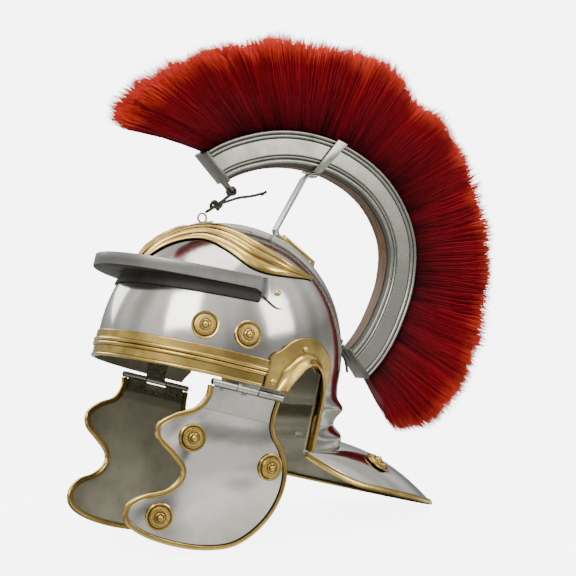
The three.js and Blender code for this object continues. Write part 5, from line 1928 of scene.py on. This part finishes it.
@dataclass
class CrestBox:
    """Steel-faced wooden box, its end plates and its fittings."""

    finishes: Finishes
    steps: int = 120
    groove: float = 0.75

    def build(self) -> None:
        """Makes the box and refines its fittings."""
        for side in Side:
            profile, marks = self._side_profile()
            rings = CREST.carried(profile, self.steps)
            name = f"crest_face_{side.label}"
            piece = solid(name, loft(rings), self.finishes.crest_steel, side, 50, marks * len(rings))
            enter(piece, "root", "plain_steel", f"crest_side_{side.label}")
        enter(self._block(), "root", "wood", "crest_block")
        for node, ease, slot, finish in (
            ("crest_cap_front", 0.5, "plain_steel", self.finishes.cap_steel),
            ("crest_cap_back", 0.5, "plain_steel", self.finishes.cap_steel),
            ("crest_strap", 0.35, "plain_steel", self.finishes.crest_steel),
            ("crest_stem", 0.5, "plain_steel", self.finishes.crest_steel),
            ("slot_plate", 0.5, "brass", self.finishes.brass),
        ):
            enter(self._eased(node, ease, finish), "root", slot, node)

    def _side_profile(self) -> tuple[list[tuple[float, float]], list[float]]:
        """Face of the box: a rolled edge, a bead, a flat panel and two more beads.

        Returns:
            Points as (inward from the outer edge, x), and how much painted shade darkens each, in the grooves
            and on the underside.
        """
        box, count = CREST, 84
        beads = ((1.35, 1.35, 1.25), (5.2, 1.25, 0.9), (24.6, 0.8, 0.55), (28.6, 1.5, 0.9))
        grooves = (3.3, 7.2, 23.3, 26.2)
        profile: list[tuple[float, float]] = [(0.0, box.half_width - 1.2)]
        marks = [0.8]
        for i in range(count + 1):
            inward = box.height * i / count
            x = box.half_width - 1.5 * smooth((inward - 30.2) / 2.8)
            for centre, half, high in beads:
                x += high * bead(inward, centre, half)
            # Painted shade on the underside towards the wood, and in the grooves.
            dark = 0.75 * smooth((inward - 30.0) / 0.8)
            for centre in grooves:
                near = groove(inward, centre, 0.5)
                x -= self.groove * near
                dark = max(dark, near)
            profile.append((inward, x))
            marks.append(dark)
        back, rim = box.height - 1.2, box.half_width - 3.0
        profile += [(box.height, rim), (back, rim), (back, box.half_width - 2.4)]
        return profile, marks + [0.9, 0.9, 0.9]

    def _block(self) -> bpy.types.Object:
        """Wooden block inside the steel faces."""
        half = CREST.half_width - 1.5
        top, low, strip = CREST.height - 1.5, CREST.height + 0.7, CREST.half_width - 3.2
        section = (
            (1, half), (1, -half), (top, -half), (top, -strip), (low, -strip), (low, strip), (top, strip),
            (top, half),
        )
        return solid("crest_wood", loft(CREST.carried(section, self.steps)), self.finishes.wood)

    def _eased(self, node: str, ease: float, finish: bpy.types.Material) -> bpy.types.Object:
        """A node's own shape with its edges eased.

        Args:
            node: The node.
            ease: Width of the eased edge.
            finish: Its material.

        Returns:
            The new piece.
        """
        source = frame["nodes"][node]
        mesh = source.data.copy()
        mesh.transform(source.matrix_world)
        tidied(mesh, flat=True)
        mesh.materials.clear()
        mesh.materials.append(finish)
        obj = linked(f"{node}_eased", mesh)
        bevel = obj.modifiers.new("eased", "BEVEL")
        bevel.width = ease * MM
        bevel.segments = 3
        bevel.limit_method = "ANGLE"
        bevel.angle_limit = math.radians(28)
        return applied(obj, 40)


@dataclass
class Plume:
    """Fan of dyed hair: a combed body with loose strands over and beyond it."""

    finishes: Finishes
    columns: int = 620
    rows: int = 20
    shorter: float = 13.5
    straight: tuple[float, float] = (0.86, 0.9)
    rounded: tuple[float, float] = (0.14, 0.1)
    held_in: float = 0.72
    ridge: float = 2.2
    strand_sides: int = 3
    strand_places: tuple[float, ...] = (0.0, 0.55, 0.9)
    strand_taper: float = 0.35
    strands: int = 9500
    thickness: float = 0.00048
    root_gap: float = 0.4
    parts: tuple[tuple[str, float, float], ...] = (
        ("front", 0.0, 0.25), ("top", 0.25, 0.5), ("back", 0.5, 0.75), ("low", 0.75, 1.0),
    )

    def build(self) -> None:
        """Makes the body and the strands."""
        enter(self._body(), "root", "dyed_hair", "plume")
        tree, sockets = self._tree()
        strand = self._strand()
        for seed, (label, start, end) in enumerate(self.parts):
            piece = self._strands(label, start, end, tree, sockets, strand, seed + 11)
            enter(piece, "root", "dyed_hair")
        bpy.data.objects.remove(strand)

    @staticmethod
    def _tone(share: float, across: float) -> float:
        """How light a lock of hair is, from 0 to 1."""
        broad = noise.noise(Vector((share * 34, across * 0.6, 3.1)))
        fine = noise.noise(Vector((share * 150, across * 1.4, 7.7)))
        return min(1.0, max(0.0, 0.5 + 0.34 * broad + 0.30 * fine))

    @staticmethod
    def _ragged(share: float) -> float:
        """Change of the hair's length at a share of the arc."""
        locks = noise.noise(Vector((share * 40, 0.5, 1.7)))
        ends = noise.noise(Vector((share * 170, 4.5, 9.2)))
        return 1.6 * locks + 1.0 * ends

    def _outline(self, place: float, length: float, tip: float) -> tuple[float, float]:
        """Half of the combed body's outline, seen along the crest.

        Args:
            place: From 0 at the root to 1 at the edge.
            length: The hair's length there.
            tip: Half width of the fan's edge there.

        Returns:
            The half width and the distance from the box.
        """
        straight, straight_out = self.straight
        swell = place / straight
        if swell <= 1:
            half = lerp(CREST.root_half, tip, smooth(swell * 0.5 + 0.12) * 1.15 - 0.02)
            return min(tip, max(CREST.root_half * 0.98, half)), length * straight_out * swell
        turn = (place - straight) / self.rounded[0] * math.pi / 2
        return tip * math.cos(turn), length * (straight_out + self.rounded[1] * math.sin(turn))

    def _body(self) -> bpy.types.Object:
        """Combed body with ridges for its locks."""
        around, root = 2 * self.rows, 1 / 6
        rings: Rings = []
        marks: list[Triple] = []
        for i in range(self.columns + 1):
            share = i / self.columns
            length = CREST.hair_length(share) - self.shorter + self._ragged(share)
            ring: list[Vector] = []
            for k in range(around + 1):
                side, place = (1, k / self.rows) if k <= self.rows else (-1, (around - k) / self.rows)
                half, out = self._outline(place, length, CREST.tip_width(share))
                ridge = noise.noise(Vector((share * 120 + side * 40, place * 1.3, side * 2.0)))
                ridge += 0.6 * noise.noise(Vector((share * 300 + side * 9, place * 2.2, 5.0)))
                half = max(0.0, half * self.held_in + ridge * self.ridge * min(1.0, place * 3))
                if place >= 1:
                    half = 0.0
                if place < root:
                    out = lerp(-0.6, out, min(1.0, place * 6))
                ring.append(CREST.hair_point(share, out, side * half))
                marks.append((share, place, self._tone(share, place) * self.held_in))
            rings.append(ring)
        points, faces = loft(rings)
        mesh = bpy.data.meshes.new("combed_hair")
        mesh.from_pydata([REST.place(p) for p in points], [], faces)
        store(mesh, "along", [place * 0.9 for _, place, _ in marks])
        store(mesh, "shade", [tone for _, _, tone in marks])
        layer = mesh.uv_layers.new(name="combed")
        for loop in mesh.loops:
            layer.data[loop.index].uv = marks[loop.vertex_index][:2]
        tidied(mesh)
        mesh.materials.append(self.finishes.hair)
        shade(mesh, 80)
        return linked("combed_hair", mesh)

    def _strand(self) -> bpy.types.Object:
        """One tapered hair of unit length and radius along +Z."""
        sides, rows = self.strand_sides, len(self.strand_places)
        points: list[Triple] = []
        for share in self.strand_places:
            size = 1 - self.strand_taper * share
            points += [(size * math.cos(turn), size * math.sin(turn), share) for turn in turns(sides)]
        tip, last = len(points), len(points) - sides
        points.append((0, 0, 1))
        faces = [tuple(reversed(range(sides))), *quads(rows, sides, True)]
        faces += [(last + s, last + (s + 1) % sides, tip) for s in range(sides)]
        mesh = bpy.data.meshes.new("one hair")
        mesh.from_pydata(points, [], faces)
        store(mesh, "along", [p[2] for p in points])
        mesh.polygons.foreach_set("use_smooth", [True] * len(mesh.polygons))
        return linked("one hair", mesh)

    def _roots(self, label: str, start: float, end: float) -> bpy.types.Object:
        """Strip of roots, each with the way and length that its hair grows."""
        columns, across = 150, 10
        points: list[Vector] = []
        grow: list[Vector] = []
        tone: list[float] = []
        for i in range(columns + 1):
            share = lerp(max(0.004, start), min(0.996, end), i / columns)
            length = CREST.hair_length(share) + self._ragged(share)
            for k in range(across + 1):
                wide = 2 * k / across - 1
                root = REST.place(CREST.hair_point(share, -self.root_gap, wide * CREST.root_half * 0.96))
                fullness = 1 - 0.10 * abs(wide) ** 3
                tip_x = wide * CREST.tip_width(share) * 1.02
                sway = 0.010 * noise.noise(Vector((share * 22, wide * 0.8, 6.3)))
                sway += 0.004 * noise.noise(Vector((share * 140, wide * 2.0, 2.9)))
                tip = CREST.hair_point(share + sway, length * fullness, tip_x)
                points.append(root)
                grow.append(REST.place(tip) - root)
                tone.append(self._tone(share, wide))
        mesh = bpy.data.meshes.new(f"roots {label}")
        mesh.from_pydata(points, [], quads(columns + 1, across + 1))
        way = mesh.attributes.new("grow", "FLOAT_VECTOR", "POINT")
        way.data.foreach_set("vector", [c for v in grow for c in v])
        store(mesh, "tone", tone)
        return linked(f"loose_hair_{label}", mesh)

    @staticmethod
    def _tree() -> tuple[bpy.types.NodeTree, dict[str, str]]:
        """Geometry Nodes that grow hairs from a strip of roots.

        Returns:
            The tree, and its inputs' identifiers by name.
        """
        bench, given, sockets = geometry_tree("grown hair", {
            "Density": "Float", "Seed": "Int", "Hair": "Object", "Thickness": "Float", "Shortest": "Float",
            "Longest": "Float", "Spread": "Float", "Wave": "Float", "Wave Scale": "Float",
            "Finish": "Material",
        })
        seed, thick = given["Seed"], given["Thickness"]
        roots = bench.add(
            "GeometryNodeDistributePointsOnFaces", {"distribute_method": "RANDOM"},
            Mesh=given["Geometry"], Density=given["Density"], Seed=seed,
        )
        way = bench.stored("FLOAT_VECTOR", "grow")
        length = bench.vector_maths("LENGTH", way)
        stray = bench.random((-1, -1, -1), (1, 1, 1), seed)
        scaled = bench.vector_maths("SCALE", stray, Scale=bench.maths("MULTIPLY", length, given["Spread"]))
        aimed = bench.vector_maths("ADD", way, scaled)
        turn = bench.add("FunctionNodeAlignRotationToVector", {"axis": "Z"}, Vector=aimed)
        tall = bench.maths("MULTIPLY", length, bench.random(given["Shortest"], given["Longest"], seed))
        size = bench.add("ShaderNodeCombineXYZ", X=thick, Y=thick, Z=tall)
        hair = bench.add("GeometryNodeObjectInfo", Object=given["Hair"])
        laid = bench.add(
            "GeometryNodeInstanceOnPoints", Points=roots.outputs["Points"], Instance=hair.outputs["Geometry"],
            Rotation=turn.outputs[0], Scale=size.outputs[0],
        )
        shaded = bench.maths("ADD", bench.stored("FLOAT", "tone"), bench.random(-0.28, 0.30, seed))
        named = bench.add(
            "GeometryNodeStoreNamedAttribute", {"data_type": "FLOAT", "domain": "INSTANCE"},
            Geometry=laid.outputs[0], Name="shade", Value=shaded,
        )
        real = bench.add("GeometryNodeRealizeInstances", Geometry=named.outputs[0])
        place = bench.add("GeometryNodeInputPosition")
        swirl = bench.add(
            "ShaderNodeTexNoise", Vector=place.outputs[0], Scale=given["Wave Scale"], Detail=2.0,
        )
        centred = bench.vector_maths("SUBTRACT", swirl.outputs["Color"], (0.5, 0.5, 0.5))
        eased = bench.maths("POWER", bench.stored("FLOAT", "along"), 1.6)
        bend = bench.maths("MULTIPLY", eased, given["Wave"])
        offset = bench.vector_maths("SCALE", centred, Scale=bend)
        moved = bench.add("GeometryNodeSetPosition", Geometry=real.outputs[0], Offset=offset)
        bench.finished(moved.outputs[0], given["Finish"])
        return bench.tree, sockets

    def _strands(
        self, label: str, start: float, end: float, tree: bpy.types.NodeTree, sockets: dict[str, str],
        strand: bpy.types.Object, seed: int,
    ) -> bpy.types.Object:
        """One stretch of loose hair.

        Args:
            label: The stretch's name.
            start: Where it begins, as a share of the arc from the front.
            end: Where it ends.
            tree: The tree that grows it.
            sockets: The tree's inputs by name.
            strand: The single hair.
            seed: The stretch's own seed.

        Returns:
            The stretch as a plain mesh.
        """
        obj = self._roots(label, start, end)
        area = sum(polygon.area for polygon in obj.data.polygons)
        grown(obj, tree, sockets, {
            "Density": self.strands / area, "Seed": seed, "Hair": strand, "Thickness": self.thickness,
            "Shortest": 0.80, "Longest": 0.985, "Spread": 0.058, "Wave": 0.020, "Wave Scale": 34.0,
            "Finish": self.finishes.hair,
        })
        for name in ("grow", "tone"):
            if name in obj.data.attributes:
                obj.data.attributes.remove(obj.data.attributes[name])
        return obj


@dataclass
class HooksAndTies:
    """Standing rings on the bowl and the cords that hold the crest to them."""

    finishes: Finishes
    ring_radius: float = 4.2
    ring_wire: float = 1.0
    cord: float = 2.6
    front_plate: Four = (-63, -36, 4.5, -46)
    back_plate: Four = (102, 111.5, 6.5, 107.5)
    front_knot: Four = (0, -37, 157, 4.0)
    front_route: tuple[Triple, ...] = (
        (0, -46, 148), (0, -41, 153), (0, -36, 158), (2, -30, 162), (3, -18, 169.5), (3, -5, 175),
        (3, 6, 181),
    )
    front_strand: tuple[Triple, ...] = ((0, -37, 157), (0.6, -31, 164), (0, -25.5, 170.5))
    back_knot: Four = (0, 122, 68, 1.5)
    back_route: tuple[Triple, ...] = (
        (0, 119.6, 71), (0.4, 121.4, 68.4), (1, 121.6, 66.5), (5, 121.2, 61), (8, 124.5, 54.5), (9, 128, 48),
        (9, 131.5, 40),
    )
    back_strand: tuple[Triple, ...] = ((0, 122, 68), (0.3, 123, 67.2), (0, 124, 66.4))
    tab_angle: float = 146.8
    tab_inward: float = 44.6
    wraps: tuple[float, ...] = (-3.0, -1.5, 0.0, 1.5, 3.0)
    wrap_radius: float = 3.4
    ring_strand: tuple[Triple, ...] = ((1.4, -44.6, 149.6), (1.6, -41, 153.4), (1.0, -37.6, 156.6))

    def build(self) -> None:
        """Makes the cords first, then the hooks."""
        cord = self.finishes.cord
        wrapped = [solid("wrap", tube(self._wrap(x), 1.3, 8), cord, crease=60) for x in self.wraps]
        wrapped.append(solid("wrap", tube(spline(self.ring_strand, 10), self.cord * 0.6, 8), cord))
        end = Vector(self.front_route[-1])
        toggle = [end + Vector((x, 0.4, 0.3 * x)) for x in (-3.6, -1.2, 1.2, 3.6)]
        wrapped.append(solid("wrap", tube(toggle, 1.5, 10), cord, crease=60))
        self._tie("front", self.front_route, self.front_strand, self.front_knot, wrapped)
        self._tie("back", self.back_route, self.back_strand, self.back_knot, [])
        for label, plate in (("front", self.front_plate), ("back", self.back_plate)):
            enter(self._hook(label, plate), "root", "plain_steel", f"{label}_hook")

    def _wrap(self, x: float) -> list[Vector]:
        """A turn of cord through the front tab's hole and round its tip."""
        middle = CREST.point(self.tab_angle, -self.tab_inward, 0)
        inward = (CREST.point(self.tab_angle, -self.tab_inward - 1, 0) - middle).normalized()
        along = Vector((1, 0, 0)).cross(inward)
        size, steps = self.wrap_radius, 28
        points: list[Vector] = []
        for i in range(steps + 1):
            turn = 2 * math.pi * i / steps
            spread = x * (0.35 + 0.325 * (1 + math.sin(turn)))
            place = middle + along * (size * math.cos(turn)) + inward * (size * math.sin(turn))
            points.append(place + Vector((spread, 0, 0)))
        return points

    def _tie(
        self, label: str, route: Sequence[Triple], strand: Sequence[Triple], knot: Four,
        wrapped: Sequence[bpy.types.Object],
    ) -> None:
        """A cord from its ring through its knot to its free end.

        Args:
            label: front or back.
            route: The cord's route.
            strand: The short strand from the knot to the box.
            knot: The knot's place and size.
            wrapped: More turns of the same cord, which are used up.
        """
        path = [REST.place(p) for p in spline(route, 34)]
        curve = bpy.data.curves.new(f"{label}_cord", "CURVE")
        curve.dimensions = "3D"
        curve.bevel_depth = self.cord / 2 * MM
        curve.bevel_resolution = 4
        curve.use_fill_caps = True
        line = curve.splines.new("POLY")
        line.points.add(len(path) - 1)
        for point, place in zip(line.points, path):
            point.co = (*place, 1)
        curve.materials.append(self.finishes.cord)
        obj = bpy.data.objects.new(f"{label}_cord", curve)
        bpy.context.scene.collection.objects.link(obj)
        enter(obj, "root", "dark_cord", f"{label}_tie")
        knotted = self._knot_path(Vector(knot[:3]), knot[3])
        tied = solid("knot", tube(knotted, self.cord * 0.6, 8), self.finishes.cord, crease=60)
        tied = joined(f"{label}_knot", [tied, *wrapped])
        pair: list[bpy.types.Object] = []
        for aside in (-self.cord * 0.4, self.cord * 0.4):
            lead = spline([(x + aside, y, z) for x, y, z in strand], 12)
            pair.append(solid("strand", tube(lead, self.cord * 0.5, 8), self.finishes.cord))
        held = joined(f"{label}_strand", pair)
        for piece in (tied, held):
            enter(piece, "root", "dark_cord")

    @staticmethod
    def _knot_path(centre: Vector, size: float) -> list[Vector]:
        """A small overhand knot round a place."""
        points: list[Vector] = []
        count = 60
        for i in range(count):
            t = 2 * math.pi * i / (count - 1) * 0.96
            points.append(centre + size * Vector((
                0.42 * (math.sin(t) + 2 * math.sin(2 * t)),
                0.42 * (math.cos(t) - 2 * math.cos(2 * t)),
                -0.7 * math.sin(3 * t),
            )))
        return points

    def _hook(self, label: str, plate: Four) -> bpy.types.Object:
        """Plate that lies on the bowl with its standing ring."""
        start, end, half_width, ring_at = plate
        rings: Rings = []
        count = 24
        for i in range(count + 1):
            share = i / count
            y = lerp(start, end, share)
            half = half_width * (0.35 + 0.65 * min(1.0, math.sin(math.pi * share) * 1.8))
            section = (
                (half, 0.5), (half, 1.4), (half - 0.4, 1.7), (0, 1.9), (0.4 - half, 1.7), (-half, 1.4),
                (-half, 0.5), (0, 0.5),
            )
            rings.append([FORM.over(x, y, proud) for x, proud in section])
        base = solid("base", loft(rings), self.finishes.inner_steel, crease=40)
        foot = FORM.dome_point(0, ring_at)
        up = FORM.dome_normal(foot)
        across = Vector((1, 0, 0))
        along = across.cross(up)
        centre = foot + up * (self.ring_radius + 1.2)
        wire = self.ring_wire
        loops: Rings = []
        for turn in turns(36):
            out = along * math.cos(turn) + up * math.sin(turn)
            loops.append([
                centre + out * (self.ring_radius + wire * math.cos(roll)) + across * wire * math.sin(roll)
                for roll in turns(12)
            ])
        ring = solid("ring", loft(loops, True), self.finishes.inner_steel, crease=60)
        return joined(f"{label}_hook_ring", (base, ring))


def main() -> None:
    """Builds every sub-assembly in order."""
    logging.basicConfig(level=logging.INFO, format="%(name)s: %(message)s")
    finishes = Finishes()
    Viewpoint().build()
    HooksAndTies(finishes).build()
    Studio().build()
    Bowl(finishes).build()
    BrowTrim(finishes).build()
    for side in Side:
        EarGuard(finishes, side).build()
        CheekGuard(finishes, side).build()
    Rosettes(finishes).build()
    CrestBox(finishes).build()
    Plume(finishes).build()


if __name__ == "__main__":
    main()
